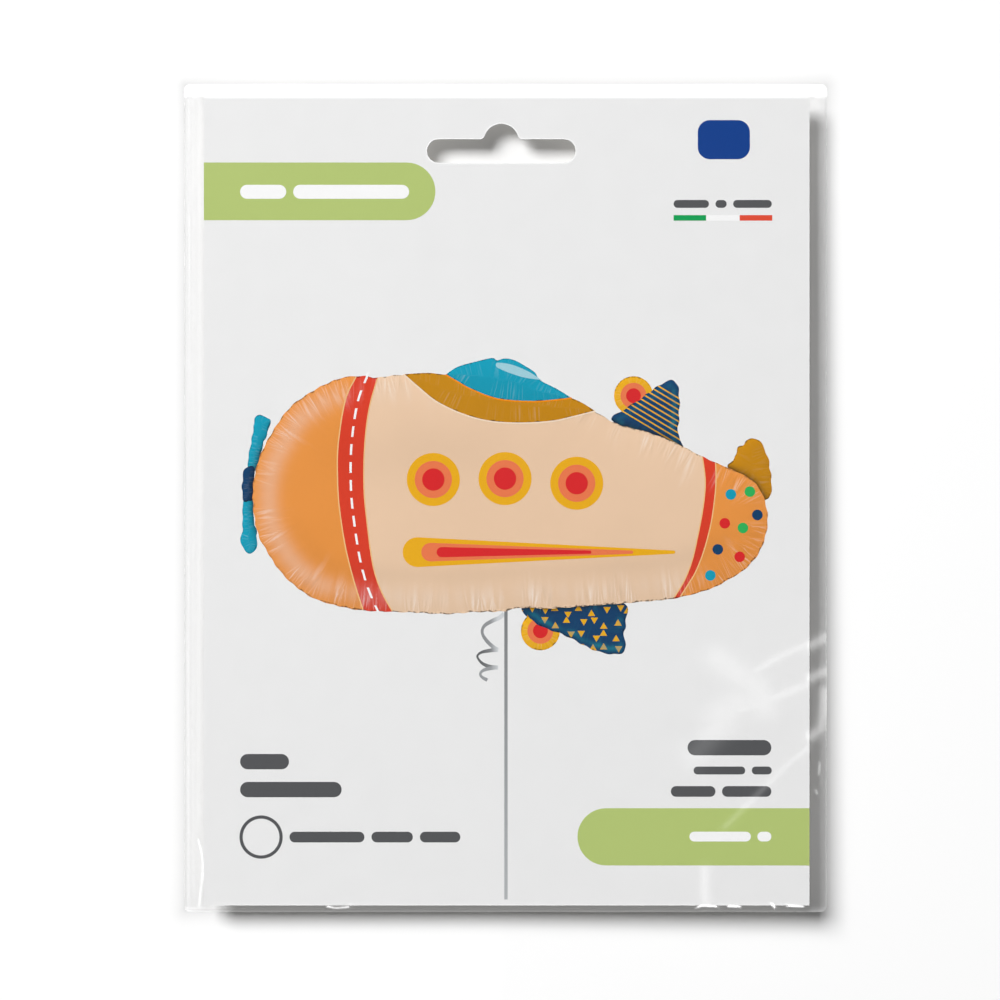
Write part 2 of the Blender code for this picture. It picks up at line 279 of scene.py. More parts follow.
def fill(loops, step, edge_step=None, edge_zone=0.0, lines=(), extra=None):
    """Points and triangles that fill the first loop around the others, finer near the edges if asked."""
    edge_step = edge_step or step
    loops = [resampled(loop, edge_step) for loop in loops]
    lines = [resampled(line, edge_step, False) for line in lines]
    low, high = loops[0].min(0), loops[0].max(0)
    points = grid_points(low, high, step)
    points = points[np.min([nearest(points, loop)[0] for loop in loops], 0) > max(edge_zone, 0.6 * step)]
    if edge_zone:
        border = grid_points(low, high, edge_step)
        gap = np.min([nearest(border, loop)[0] for loop in loops], 0)
        border = border[(gap > 0.6 * edge_step) & (gap <= edge_zone)]
        points = np.concatenate([points, border])
    for line in lines:
        points = points[nearest(points, line, False)[0] > 0.5 * edge_step]
    if extra is not None:
        points = np.concatenate([points, extra])
    for index, loop in enumerate(loops):
        points = points[inside(points, loop) != (index > 0)]
    coordinates = list(points)
    edges = []
    for loop in loops:
        first = len(coordinates)
        coordinates += list(loop)
        edges += [(first + i, first + (i + 1) % len(loop)) for i in range(len(loop))]
    for line in lines:
        first = len(coordinates)
        coordinates += list(line)
        edges += [(first + i, first + i + 1) for i in range(len(line) - 1)]
    made = delaunay_2d_cdt([Vector(p) for p in coordinates], edges, [], 0, 1e-5, False)
    plan = np.array([tuple(p) for p in made[0]])
    faces = np.array(made[2])
    centres = plan[faces].mean(1)
    kept = inside(centres, loops[0])
    for loop in loops[1:]:
        kept &= ~inside(centres, loop)
    faces = faces[kept]
    used, faces = np.unique(faces, return_inverse=True)
    return plan[used], faces.reshape(-1, 3)


def plan_loops(node):
    """The outlines of a plate node's back face, the outer one first."""
    mesh = frame["nodes"][node].data
    back = max(v.co.y for v in mesh.vertices)
    following = {}
    places = [(round(v.co.x / MM, 4), round(v.co.z / MM, 4)) for v in mesh.vertices]
    sides = set()
    for face in mesh.polygons:
        if all(abs(mesh.vertices[v].co.y - back) < 0.02 * MM for v in face.vertices):
            ring = [places[v] for v in face.vertices]
            sides.update(zip(ring, ring[1:] + ring[:1]))
    for start, end in sides:
        if (end, start) not in sides:
            following[start] = end
    loops = []
    while following:
        start, point = following.popitem()
        loop = [start]
        while point != start:
            loop.append(point)
            point = following.pop(point)
        loops.append(np.array(loop))
    return sorted(loops, key=lambda loop: -np.ptp(loop[:, 0]))


def waves(points, size, seed=0.0):
    """Smooth noise from -1 to 1 at plan points, its features about as large as the size."""
    return np.array([noise.noise(Vector((x / size, z / size, seed))) for x, z in points])


def crumple(points, size, seed=0.0):
    """Height from 0 to 1 of a crumpled sheet: sharp ridges between shallow cells."""
    return np.array([noise.voronoi(Vector((x / size, z / size, seed)))[0][0] for x, z in points])


def ease(value):
    """A smooth step from 0 to 1."""
    value = np.clip(value, 0, 1)
    return value * value * (3 - 2 * value)


def bell(value, width):
    """1 where the value is 0, and nearly 0 from twice the width."""
    return np.exp(-((value / width) ** 2))


def on_ring(along, level=0.0):
    """Noise places for distances along an outline."""
    return np.stack([along, np.full(len(along), level)], 1)


def scalloped(outline, size, seed):
    """An outline with the small waves of a crimped weld, kept inside the given one."""
    outline = resampled(outline, 0.6)
    along = nearest(outline, outline)[1]
    wave = 1 + np.sin(along * 1.9 + 2 * waves(on_ring(along, seed), 6.0, seed))
    return moved_inward(outline, outline.mean(0), size * wave / 2)


# Meshes.
def add_mesh(name, vertices, faces, materials, face_materials=None, attributes=(), smooth=True):
    """A piece of the object, its vertices in millimetres, that rides on the one body."""
    mesh = bpy.data.meshes.new(name)
    mesh.from_pydata((np.asarray(vertices) * MM).tolist(), [], faces)
    for material in materials:
        mesh.materials.append(material)
    if face_materials is not None:
        mesh.polygons.foreach_set("material_index", np.asarray(face_materials, np.int32))
    for label, values in attributes:
        attribute = mesh.attributes.new(label, "FLOAT", "POINT")
        attribute.data.foreach_set("value", np.asarray(values, np.float32))
    mesh.polygons.foreach_set("use_smooth", np.full(len(mesh.polygons), smooth))
    mesh.update()
    obj = bpy.data.objects.new(name, mesh)
    bpy.context.scene.collection.objects.link(obj)
    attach(obj, "root")
    return obj


def closed_faces(faces, count):
    """Faces of a sheet of that many points and of its turned copy, and those of the walls around it."""
    sides = {side for face in faces for side in zip(face, face[1:] + face[:1])}
    walls = sorted((b, a, a + count, b + count) for a, b in sides if (b, a) not in sides)
    return faces + [[v + count for v in reversed(face)] for face in faces], walls


def add_plate(name, plan, faces, front, back, materials, face_materials=None, attributes=()):
    """A closed plate over a filled plan, between a front and a back depth at each of its points."""
    curved = np.ndim(front) > 0 or np.ndim(back) > 0
    depths = [np.broadcast_to(depth, len(plan)) for depth in (front, back)]
    vertices = np.concatenate([np.stack([plan[:, 0], depth, plan[:, 1]], 1) for depth in depths])
    turned = faces[:, ::-1] if signed_area(plan, faces) < 0 else faces
    flats, walls = closed_faces(turned.tolist(), len(plan))
    if face_materials is not None:
        face_materials = list(face_materials) * 2 + [face_materials[0]] * len(walls)
    doubled = [(label, np.tile(values, 2)) for label, values in attributes]
    obj = add_mesh(name, vertices, flats + walls, materials, face_materials, doubled, curved)
    if curved:
        mark_sharp_rim(obj, len(flats))
    return obj


def signed_area(plan, faces):
    """Twice the area of the first face, which is below 0 for a clockwise one."""
    first = plan[faces[0]]
    return np.cross(first[1] - first[0], first[2] - first[0])


def mark_sharp_rim(obj, first_wall):
    """Keeps the plate's faces smooth and its rim crisp."""
    mesh = obj.data
    sharp = set()
    for face in mesh.polygons[first_wall:]:
        a, b, c, d = face.vertices
        sharp.update((tuple(sorted((a, b))), tuple(sorted((c, d)))))
    for edge in mesh.edges:
        if tuple(sorted(edge.vertices)) in sharp:
            edge.use_edge_sharp = True


# Shader nodes.
class Value:
    """A value in a shader. Arithmetic with it adds nodes."""

    def __init__(self, socket):
        self.socket = socket
        self.tree = socket.id_data

    def maths(self, operation, *others):
        return add_node(self.tree, "Math", self, *others, settings={"operation": operation})

    def output(self, name):
        """Another output of the same node."""
        return Value(self.socket.node.outputs[name])


OPERATORS = {
    "add": "ADD", "sub": "SUBTRACT", "mul": "MULTIPLY", "truediv": "DIVIDE", "pow": "POWER",
    "lt": "LESS_THAN", "gt": "GREATER_THAN",
}
for method, operation in OPERATORS.items():
    setattr(Value, f"__{method}__", partialmethod(Value.maths, operation))


def connect(socket, value):
    if isinstance(value, Value):
        socket.id_data.links.new(value.socket, socket)
    elif value is not None:
        socket.default_value = value


def add_node(tree, kind, *values, output=0, settings=(), **inputs):
    """One output of a new node. Inputs are given in order, or by name with _ for each space."""
    node = tree.nodes.new("ShaderNode" + kind)
    for key, value in dict(settings).items():
        setattr(node, key, value)
    for socket, value in zip(node.inputs, values):
        connect(socket, value)
    for key, value in inputs.items():
        connect(node.inputs[key.replace("_", " ")], value)
    return Value(node.outputs[output])


def empty_tree(owner):
    owner.use_nodes = True
    owner.node_tree.nodes.clear()
    return owner.node_tree


def new_material(name):
    material = bpy.data.materials.new(name)
    return material, empty_tree(material)


def finished(owner, surface, kind="Material"):
    """The material or world, its surface joined to its output."""
    output = owner.node_tree.nodes.new("ShaderNodeOutput" + kind)
    connect(output.inputs["Surface"], surface)
    return owner


def mixed(factor, first, second):
    """A colour between two. A Mix node takes them as its inputs 6 and 7, and its output 2 is the colour."""
    values = [factor, *[None] * 5, first, second]
    return add_node(factor.tree, "Mix", *values, output=2, settings={"data_type": "RGBA"})


def split(vector):
    """The X, Y and Z of a vector."""
    parts = add_node(vector.tree, "SeparateXYZ", vector)
    return [parts.output(axis) for axis in "XYZ"]


def place_mm(tree):
    """The point on the object, in millimetres."""
    place = add_node(tree, "TexCoord", output="Object")
    return add_node(tree, "VectorMath", place, settings={"operation": "SCALE"}, Scale=1 / MM)


def noise_at(place, size, detail=3.0):
    """Noise from 0 to 1 with features of a size in millimetres."""
    return add_node(place.tree, "TexNoise", Vector=place, Scale=1 / size, Detail=detail)


def bumped(height, distance, strength=1.0, **before):
    """The normal of a bumped surface. Normal may give the normal that it starts from."""
    return add_node(height.tree, "Bump", Height=height, Strength=strength, Distance=distance * MM, **before)


def attribute(tree, name):
    return add_node(tree, "Attribute", output="Fac", settings={"attribute_name": name})


# Materials. Streaks and dark seam of the printed foil shapes, in millimetres.
STREAK_WIDTH = 0.42
STREAK_LENGTH = 9.0
SEAM_WIDTH_RANGE = 0.9
SEAM_WIDTH_LEAST = -0.22

# Patterns of the navy wings and of the tail, in millimetres on the balloon and on its printed picture.
# Stripes have a pitch, a share of it that is gold, and the levels that they lie between.
STRIPES = {"stripes": (7.0, 0.17, -400.0, 400.0), "print stripes": (1.25, 0.26, -46.3, -35.3)}
STRIPE_SLOPE = 0.6
TRIANGLES = {"triangles": (14.0, 2.6), "print triangles": (2.7, 0.46)}
DOTS = {"dots": (22.0, 0.18)}
DOT_COLOURS = ("teal", "green", "scarlet", "navy")
GOLD = INKS["yellow"]
TEAL_SHEEN = (0.01, 0.24, 0.30, 1.0)
PALE = (0.8, 0.8, 0.8, 1.0)
WHITE = (1.0, 1.0, 1.0, 1.0)
NECK_FILM = (0.80, 0.82, 0.84, 1.0)
CRACKLE_SIZE = 2.4


def board_material():
    """Coated board: a smooth printed front, and a rougher back with pale fibres."""
    material, tree = new_material("coated_board")
    place = place_mm(tree)
    is_back = split(place)[1] > CARD_BACK - 0.01
    fibres = noise_at(place, 0.35, 5.0)
    front = mixed(noise_at(place, 6.0), pigment(234, 234, 234), pigment(238, 238, 238))
    back = mixed(fibres, pigment(206, 203, 197), pigment(230, 228, 223))
    surface = add_node(
        tree, "BsdfPrincipled", Base_Color=mixed(is_back, front, back), Roughness=is_back * 0.3 + 0.5,
        Normal=bumped(fibres, 0.006), Specular_IOR_Level=0.1,
    )
    return finished(material, surface)


def ink_material(name, colour, pattern="plain", highlight=PALE):
    """Printing ink, shaded by the mesh's own tone and shine, with fine streaks and a seam off its rim."""
    material, tree = new_material(name)
    place = place_mm(tree)
    ring, depth = attribute(tree, "ring"), attribute(tree, "depth")
    grid = add_node(tree, "CombineXYZ", ring / STREAK_WIDTH, depth / STREAK_LENGTH)
    crease = (noise_at(grid, 1.0, 1.0) * 5.0 - 2.5) * attribute(tree, "crease")
    seam_noise = noise_at(add_node(tree, "CombineXYZ", ring, 7.0), 1.3, 2.0)
    is_seam = depth < seam_noise * SEAM_WIDTH_RANGE + SEAM_WIDTH_LEAST
    seam = is_seam * attribute(tree, "seam") * -0.75 + 1.0
    grain = noise_at(place, 0.5, 4.0) * 0.05 + 0.975
    tone = (crease * 0.13 + attribute(tree, "tone")) * grain * seam
    printed = colour[:3] if pattern == "plain" else foil_colour(colour, place, pattern)
    shaded = add_node(tree, "VectorMath", printed, settings={"operation": "SCALE"}, Scale=tone)
    shine = ((crease * 0.5).maths("MAXIMUM", 0.0) + attribute(tree, "shine")).maths("MINIMUM", 1.0)
    seen = mixed(shine, shaded, highlight)
    surface = add_node(tree, "BsdfPrincipled", Base_Color=seen, Roughness=0.5, Specular_IOR_Level=0.05)
    return finished(material, surface)


def film_material(name):
    """Thin clear film, with a reflection that grows at a slant, and a faint white scatter where the mesh has
    some: haze, and on the front film painted light.
    """
    material, tree = new_material(name)
    reflection = add_node(tree, "LayerWeight", output="Facing") ** 5.0 * 0.6 + 0.02
    clear = add_node(tree, "BsdfTransparent", (0.985, 0.985, 0.985, 1.0))
    hazed = add_node(tree, "AddShader", clear, add_node(tree, "BsdfDiffuse", attribute(tree, "haze")))
    gloss = add_node(tree, "BsdfGlossy", Roughness=0.1)
    return finished(material, add_node(tree, "MixShader", reflection, hazed, gloss))


def foil_colour(colour, place, pattern):
    """The print on a foil piece: plain, gold stripes, gold triangles, or dots of several colours."""
    if pattern == "plain":
        return colour
    tree = place.tree
    x, _, z = split(place)
    if pattern in STRIPES:
        pitch, share, low, high = STRIPES[pattern]
        level = x * STRIPE_SLOPE + z
        is_striped = level.maths("COMPARE", (low + high) / 2, (high - low) / 2)
        return mixed(((level / pitch).maths("FRACT") < share) * is_striped, colour, GOLD)
    cell, size = TRIANGLES.get(pattern) or DOTS[pattern]
    flat = add_node(tree, "CombineXYZ", x, z)
    settings = {"voronoi_dimensions": "2D"}
    cells = add_node(tree, "TexVoronoi", settings=settings, Vector=flat, Scale=1 / cell, Randomness=0.6)
    pick = split(cells.output("Color"))[0]
    if pattern in TRIANGLES:
        settings = {"operation": "SUBTRACT"}
        local = add_node(tree, "VectorMath", flat, cells.output("Position"), settings=settings)
        across, up, _ = split(local)
        up = up * ((pick < 0.5) * 2.0 - 1.0)
        slant = up * 0.5 + across.maths("ABSOLUTE") * (math.sqrt(3) / 2)
        return mixed(slant.maths("MAXIMUM", up * -1.0) < size, colour, GOLD)
    dots = add_node(tree, "ValToRGB", pick)
    ramp = dots.socket.node.color_ramp
    ramp.interpolation = "CONSTANT"
    ramp.elements.remove(ramp.elements[1])
    for index, ink in enumerate(DOT_COLOURS):
        stop = ramp.elements.new(index / len(DOT_COLOURS)) if index else ramp.elements[0]
        stop.color = INKS[ink]
    return mixed(cells < size, colour, dots)


def foil_material(name, colour, pattern="plain", metallic=0.55):
    """Printed metallised foil with fine crackle, and a slight sheen of its clear top layer."""
    material, tree = new_material(name)
    place = place_mm(tree)
    settings = {"feature": "DISTANCE_TO_EDGE"}
    crackle = add_node(tree, "TexVoronoi", settings=settings, Vector=place, Scale=1 / CRACKLE_SIZE)
    soft = noise_at(place, 3.5, 4.0)
    normal = bumped(soft, 0.5, 0.55, Normal=bumped(crackle.maths("MINIMUM", 0.12), 0.12, 0.8))
    worn = mixed(noise_at(place, 1.1, 5.0) * 0.14, foil_colour(colour, place, pattern), PALE)
    surface = add_node(
        tree, "BsdfPrincipled", Base_Color=worn, Metallic=metallic, Roughness=soft * 0.18 + 0.21,
        Normal=normal, Coat_Weight=0.5, Coat_Roughness=0.12,
    )
    return finished(material, surface)


def neck_material():
    """Milky clear film of the filling neck, a little cloudy."""
    material, tree = new_material("neck_film")
    cloud = noise_at(place_mm(tree), 2.0)
    normal = bumped(cloud, 0.4, 0.6)
    milky = add_node(tree, "BsdfPrincipled", Base_Color=NECK_FILM, Roughness=0.22, Normal=normal)
    clear = add_node(tree, "BsdfTransparent", (0.97, 0.98, 1.0, 1.0))
    return finished(material, add_node(tree, "MixShader", cloud * 0.25 + 0.42, clear, milky))


# The card's print. Places are millimetres from the top of the hang slot.
INK_STEP = 0.012
LIGHT_FROM = np.array([-0.55, 0.84])
LIGHT_PATCH_SIDE = np.array([-1.0, -0.1])
STREAK_GROUP = 6.0
STREAK_START = 0.7
STREAK_REACH = 3.8
STREAK_REACH_SWING = 3.4
SEAM_FACING = np.array([0.35, -0.94])
CONTACT_SHADOW = 0.65
CONTACT_DARKNESS = 0.85
GLOW_PLACE = 1.2
GLOW_WIDTH = 0.6


def add_ink(name, plan, faces, materials, layer, shades, region=None):
    """A thin plate of ink on the card's front, in some layer."""
    front = CARD_FRONT - layer * INK_STEP
    add_plate(name, plan, faces, front, CARD_FRONT, materials, region, shades.items())


def flat_ink(name, outlines, material, layer=1, holes=(), tone=None):
    """Even areas of one ink, joined in one piece. A tone function may shade it over its plan."""
    points, triangles = [], []
    for outline in outlines:
        plan, faces = fill([np.asarray(outline, float), *holes], 4.0, 1.5)
        triangles.append(faces + sum(len(p) for p in points))
        points.append(plan)
    plan, faces = np.concatenate(points), np.concatenate(triangles)
    shades = {"tone": np.ones(len(plan)) if tone is None else tone(plan), "shine": np.zeros(len(plan))}
    add_ink(name, plan, faces, [material], layer, shades)


def puffed_shading(plan, outline, softness, depth, crimps):
    """Shading of a printed foil shape: lit from the upper left, with pale streaks and a dark seam."""
    distance, along, toward = nearest(plan, outline)
    tone = 1 + depth * (toward @ LIGHT_FROM) * np.exp(-distance / softness) + 0.02 * waves(plan, 11.0, 1.0)
    ring = on_ring(along)
    groups = ease(0.65 + 2.0 * waves(ring, STREAK_GROUP, 8.0))
    reach = STREAK_REACH + STREAK_REACH_SWING * waves(ring, 4.0, 5.0)
    window = (1 - np.exp(-distance / STREAK_START)) * bell(distance, reach)
    joint = ease(along / 3) * ease((along.max() - along) / 3)
    return {
        "tone": tone,
        "shine": np.zeros(len(plan)),
        "ring": along,
        "depth": distance,
        "crease": crimps * groups * window * joint,
        "seam": ease(0.1 + 0.9 * toward @ SEAM_FACING),
    }


def puffed_ink(name, outline, material, layer, softness, depth, crimps, step=0.45, shadow=None, glow=0.0):
    """A printed foil shape, darker close to an outline that overlaps it, with a glow along its lower edge."""
    plan, faces = fill([outline], step)
    shades = puffed_shading(plan, outline, softness, depth, crimps)
    if shadow is not None:
        shades["tone"] *= 1 - CONTACT_DARKNESS * np.exp(-nearest(plan, shadow)[0] / CONTACT_SHADOW)
    edge = bell(shades["depth"] - GLOW_PLACE, GLOW_WIDTH) * (0.3 + 0.7 * shades["seam"])
    shades["shine"] += glow * edge * ease(0.5 + 1.2 * waves(plan, 3.0, 6.0))
    add_ink(name, plan, faces, [material], layer, shades)


# Outline of the printed airplane's body, from the nose over the top to the tail and back below.
BODY = (
    (-53.5, -79.8), (-52.5, -73.1), (-50.0, -67.4), (-45.8, -61.2), (-41.5, -57.9), (-37.7, -55.8),
    (-33.9, -54.4), (-29.3, -54.1), (-27.0, -54.5), (-23.5, -54.0), (-15.9, -53.5), (-12.0, -53.9),
    (-4.0, -54.8), (5.0, -56.3), (15.1, -58.9), (20.2, -61.7), (23.5, -63.7), (26.1, -64.8), (30.5, -65.9),
    (34.9, -67.4), (39.3, -69.4), (43.2, -71.4), (45.8, -72.6), (51.1, -74.9), (54.2, -76.8), (56.2, -79.6),
    (57.3, -84.0), (56.9, -88.3), (55.3, -92.4), (52.4, -95.7), (49.3, -97.7), (45.8, -99.6), (41.5, -101.0),
    (36.6, -102.1), (30.5, -102.7), (25.7, -103.1), (17.3, -103.7), (9.9, -104.2), (4.6, -104.0),
    (0.3, -104.8), (-6.3, -105.0), (-12.0, -105.4), (-17.8, -105.1), (-23.5, -104.9), (-29.7, -104.6),
    (-33.9, -103.9), (-39.6, -102.3), (-43.5, -100.0), (-47.3, -96.5), (-50.4, -91.9), (-52.6, -87.3),
)

# Borders of the coloured bands across the body, from top to bottom.
NOSE_BORDER = ((-31.2, -54.3), (-33.5, -59.3), (-35.0, -68.5), (-35.2, -75.4), (-34.8, -82.3),
               (-33.5, -90.8), (-31.6, -98.4), (-29.7, -104.4))
BAND_BORDER = ((-26.6, -54.7), (-28.3, -60.8), (-29.3, -68.5), (-29.5, -77.7), (-28.9, -85.0),
               (-27.6, -94.6), (-25.8, -100.3), (-23.3, -104.9))
TAIL_BAND_BORDER = ((43.1, -71.0), (43.8, -76.6), (43.4, -81.9), (42.3, -88.0), (41.0, -93.7),
                    (39.3, -98.1), (36.9, -102.1))
TAIL_BORDER = ((46.0, -72.0), (46.1, -77.5), (45.2, -85.0), (43.7, -91.1), (41.9, -95.9), (40.1, -99.0),
               (38.3, -101.8))

# White dashes down the wide band: their count, place of the first, pitch, length and half width.
DASHES = 14
DASH_TOP = -53.4
DASH_PITCH = 3.85
DASH_LENGTH = 2.3
DASH_HALF = 0.24
DASH_END = -104.8

# A faint hollow below the canopy: its middle and size.
HOLLOW = np.array([-12.0, -70.5])
HOLLOW_SIZE = np.array([22.0, 6.0])


def border_line(border):
    """A border as a fine line, run out past the body at both ends."""
    points = np.array(border)
    before, after = 1.5 * points[0] - 0.5 * points[1], 1.5 * points[-1] - 0.5 * points[-2]
    return smooth_through([before, *points, after], 8, False)


def border_x(line, z):
    return np.interp(z, line[::-1, 1], line[::-1, 0])


def clipped(line, outline):
    """The points of an open line that lie inside an outline."""
    fine = resampled(line, 0.5, False)
    return fine[inside(fine, outline)]


def add_printed_body(inks):
    outline = scalloped(smooth_through(BODY, 8), 0.2, 5.0)
    borders = [border_line(points) for points in (NOSE_BORDER, BAND_BORDER, TAIL_BAND_BORDER, TAIL_BORDER)]
    plan, faces = fill([outline], 1.2, 0.5, 8.0, borders)
    centres = plan[faces].mean(1)
    region = sum((centres[:, 0] > border_x(line, centres[:, 1])).astype(int) for line in borders)
    shades = puffed_shading(plan, outline, 5.0, 0.10, 1.0)
    distance, _, toward = nearest(plan, outline)
    shades["shine"] += 0.2 * ease(0.3 + toward @ LIGHT_PATCH_SIDE) * bell(distance - 3.4, 2.2)
    below = ease(-toward[:, 1]) * bell(distance - 8.0, 2.2)
    hollow = np.exp(-(((plan - HOLLOW) / HOLLOW_SIZE) ** 2).sum(1))
    shades["tone"] -= 0.06 * below + 0.05 * hollow
    materials = [inks[name] for name in ("orange", "red", "cream", "red", "orange")]
    add_ink("print_body", plan, faces, materials, 1, shades, region)
    flat_ink("print_piping", [strip(clipped(line, outline), 0.26) for line in borders], inks["piping"], 2)
    add_band_dashes(inks["white"], borders[:2])
    return outline


def add_band_dashes(ink, borders):
    """White dashes down the middle of the wide red band."""
    dashes = []
    for index in range(DASHES):
        top = DASH_TOP - index * DASH_PITCH
        z = np.linspace(max(top - DASH_LENGTH, DASH_END), top, 5)
        x = (border_x(borders[0], z) + border_x(borders[1], z)) / 2
        dashes.append(between(np.stack([x - DASH_HALF, z], 1), np.stack([x + DASH_HALF, z], 1)))
    flat_ink("print_dashes", dashes, ink, 3)


# Lines of the printed canopy, from left to right.
RIM_TOP = ((-21.0, -53.8), (-15.9, -53.5), (-12.0, -53.9), (-4.0, -54.8), (5.0, -56.3), (15.1, -58.9),
           (20.2, -61.7))
RIM_LOW = ((-21.0, -53.8), (-17.8, -56.6), (-13.9, -59.7), (-8.2, -62.4), (-2.4, -63.9), (4.1, -64.3),
           (10.8, -63.9), (15.1, -63.0), (20.2, -61.7))
DOME = ((-12.0, -53.9), (-9.4, -52.2), (-5.6, -51.1), (-2.0, -50.3), (-0.9, -50.8), (0.7, -50.4),
        (2.9, -50.8), (5.6, -52.3), (7.2, -53.4), (8.4, -55.1), (11.9, -56.9), (15.1, -58.9))
GLASS_LOW = ((-12.0, -53.9), (-9.3, -55.5), (-6.6, -57.0), (-0.9, -59.1), (6.4, -59.7), (12.1, -59.3),
             (15.1, -58.9))
GLINT_TOP = ((-1.2, -51.7), (-0.6, -51.3), (2.5, -51.8), (6.0, -53.3), (8.6, -55.0))
GLINT_LOW = ((-1.2, -51.7), (-0.9, -52.3), (1.5, -53.4), (5.0, -54.5), (8.6, -55.0))


def add_printed_canopy(inks):
    lines = (RIM_TOP, RIM_LOW, DOME, GLASS_LOW, GLINT_TOP, GLINT_LOW)
    rim_top, rim_low, dome, glass_low, glint_top, glint_low = (smooth_through(p, 8, False) for p in lines)
    puffed_ink("print_canopy_rim", between(rim_top, rim_low), inks["ochre"], 2, 3.0, 0.05, 0.2)
    puffed_ink("print_canopy", between(dome, glass_low), inks["teal"], 3, 3.0, 0.12, 0.25, 0.35)
    flat_ink("print_canopy_line", [strip(glass_low, 0.35)], inks["deep orange"], 4)
    flat_ink("print_canopy_edge", [strip(rim_low, 0.3)], inks["pale cream"], 4)
    flat_ink("print_canopy_glint", [between(glint_top, glint_low)[:-1]], inks["pale teal"], 4)


# Round windows, a tapering stripe below them, and dots on the tail.
WINDOW_PLACES = ((-14.6, -76.4), (0.8, -76.2), (16.2, -77.2))
WINDOW_RINGS = (("yellow", 5.7), ("coral", 4.0), ("scarlet", 2.4))
STRIPE_LEVEL = -92.0
STRIPE_LAYERS = (("yellow", 3.2, -18.0, 37.0), ("coral", 2.0, -15.2, 28.0), ("scarlet", 1.1, -12.8, 19.0))
STRIPE_END_HALF = 0.35
TAIL_DOTS = {
    "teal": ((49.3, -79.6), (44.9, -97.0)),
    "green": ((53.4, -79.0), (51.9, -86.8)),
    "scarlet": ((48.0, -85.8), (51.2, -93.0)),
    "navy": ((55.0, -84.0), (46.5, -91.4)),
}
TAIL_DOT_RADIUS = 1.15


def add_printed_motifs(inks):
    """Round windows along the body, a tapering stripe below them, and dots on the tail."""
    for layer, (ink, radius) in enumerate(WINDOW_RINGS):
        flat_ink("print_windows_" + ink, [disc(p, radius, 48) for p in WINDOW_PLACES], inks[ink], 2 + layer)
    for layer, (ink, half, left, right) in enumerate(STRIPE_LAYERS):
        head = arc((left, STRIPE_LEVEL), half, 90, 270, 12)
        end = arc((right, STRIPE_LEVEL), STRIPE_END_HALF, -90, 90, 6)
        flat_ink("print_stripe_" + ink, [np.concatenate([head, end])], inks[ink], 2 + layer)
    for ink, places in TAIL_DOTS.items():
        flat_ink("print_tail_dots_" + ink, [disc(p, TAIL_DOT_RADIUS, 20) for p in places], inks[ink], 2)


# Printed pieces behind the body: name, ink, layer, softness and depth of their shading, outline.
PRINTED_PIECES = (
    ("wing_upper", "navy stripes", 0.7, 1.0, 0.32,
     ((23.5, -63.6), (25.7, -61.7), (29.6, -59.1), (33.6, -56.2), (36.2, -55.0), (37.6, -55.4), (38.2, -57.0),
      (38.4, -61.7), (38.1, -66.5), (39.2, -70.4), (35.0, -70.5), (29.0, -68.0))),
    ("wing_lower", "navy triangles", 0.7, 1.0, 0.32,
     ((4.4, -103.6), (6.8, -106.9), (9.9, -108.6), (13.0, -109.7), (16.5, -111.5), (20.0, -113.2),
      (23.5, -114.0), (25.9, -113.8), (27.0, -112.2), (26.4, -110.2), (26.8, -107.7), (26.2, -102.6),
      (15.0, -102.0))),
    ("fin", "ochre", 0.7, 1.0, 0.26,
     ((48.5, -73.6), (50.0, -71.8), (50.6, -69.6), (51.9, -68.9), (52.6, -67.8), (55.2, -67.6), (56.3, -69.2),
      (57.4, -71.6), (58.1, -76.0), (58.0, -79.7), (57.0, -80.8), (54.4, -80.0), (51.0, -77.0))),
    ("blade_upper", "teal", 0.7, 0.7, 0.26,
     ((-53.2, -64.3), (-52.9, -63.0), (-51.6, -62.4), (-50.0, -63.0), (-49.5, -64.0), (-50.4, -67.2),
      (-51.5, -70.4), (-52.6, -74.6), (-54.4, -73.9), (-54.3, -71.0), (-53.7, -67.6))),
    ("blade_lower", "teal", 0.7, 0.7, 0.26,
     ((-55.4, -80.6), (-53.4, -80.8), (-53.2, -84.2), (-52.5, -87.2), (-52.4, -90.2), (-52.8, -91.9),
      (-54.0, -92.4), (-55.4, -91.5), (-56.1, -89.4), (-55.7, -86.5))),
    ("hub", "navy", 0.9, 0.7, 0.3,
     ((-55.3, -74.2), (-54.2, -73.4), (-53.0, -73.9), (-52.9, -76.5), (-53.0, -80.6), (-54.4, -81.3),
      (-55.5, -80.8), (-55.8, -77.4))),
)
PRINTED_PADS = (("upper", (28.4, -58.4)), ("lower", (8.4, -108.9)))
PAD_RINGS = ((0.2, "yellow", 4.2), (0.34, "coral", 2.8), (0.48, "scarlet", 1.6))


def add_printed_pieces(inks, body):
    """Wings, fin, engine pads and propeller, each behind the body, so one ink layer lower."""
    for seed, (name, ink, layer, softness, depth, points) in enumerate(PRINTED_PIECES):
        outline = scalloped(smooth_through(points, 8), 0.3, float(seed))
        glow = 0.5 if name.startswith("wing") else 0.0
        crimps = 0.15 if name == "fin" else 0.35
        puffed_ink("print_" + name, outline, inks[ink], layer, softness, depth, crimps, 0.35, body, glow)
    for name, centre in PRINTED_PADS:
        for layer, ink, radius in PAD_RINGS:
            piece, ring = f"print_pad_{name}_{ink}", disc(centre, radius, 28)
            if ink == "yellow":
                puffed_ink(piece, ring, inks[ink], layer, 1.0, 0.16, 0.5, 0.4)
            else:
                flat_ink(piece, [ring], inks[ink], layer)


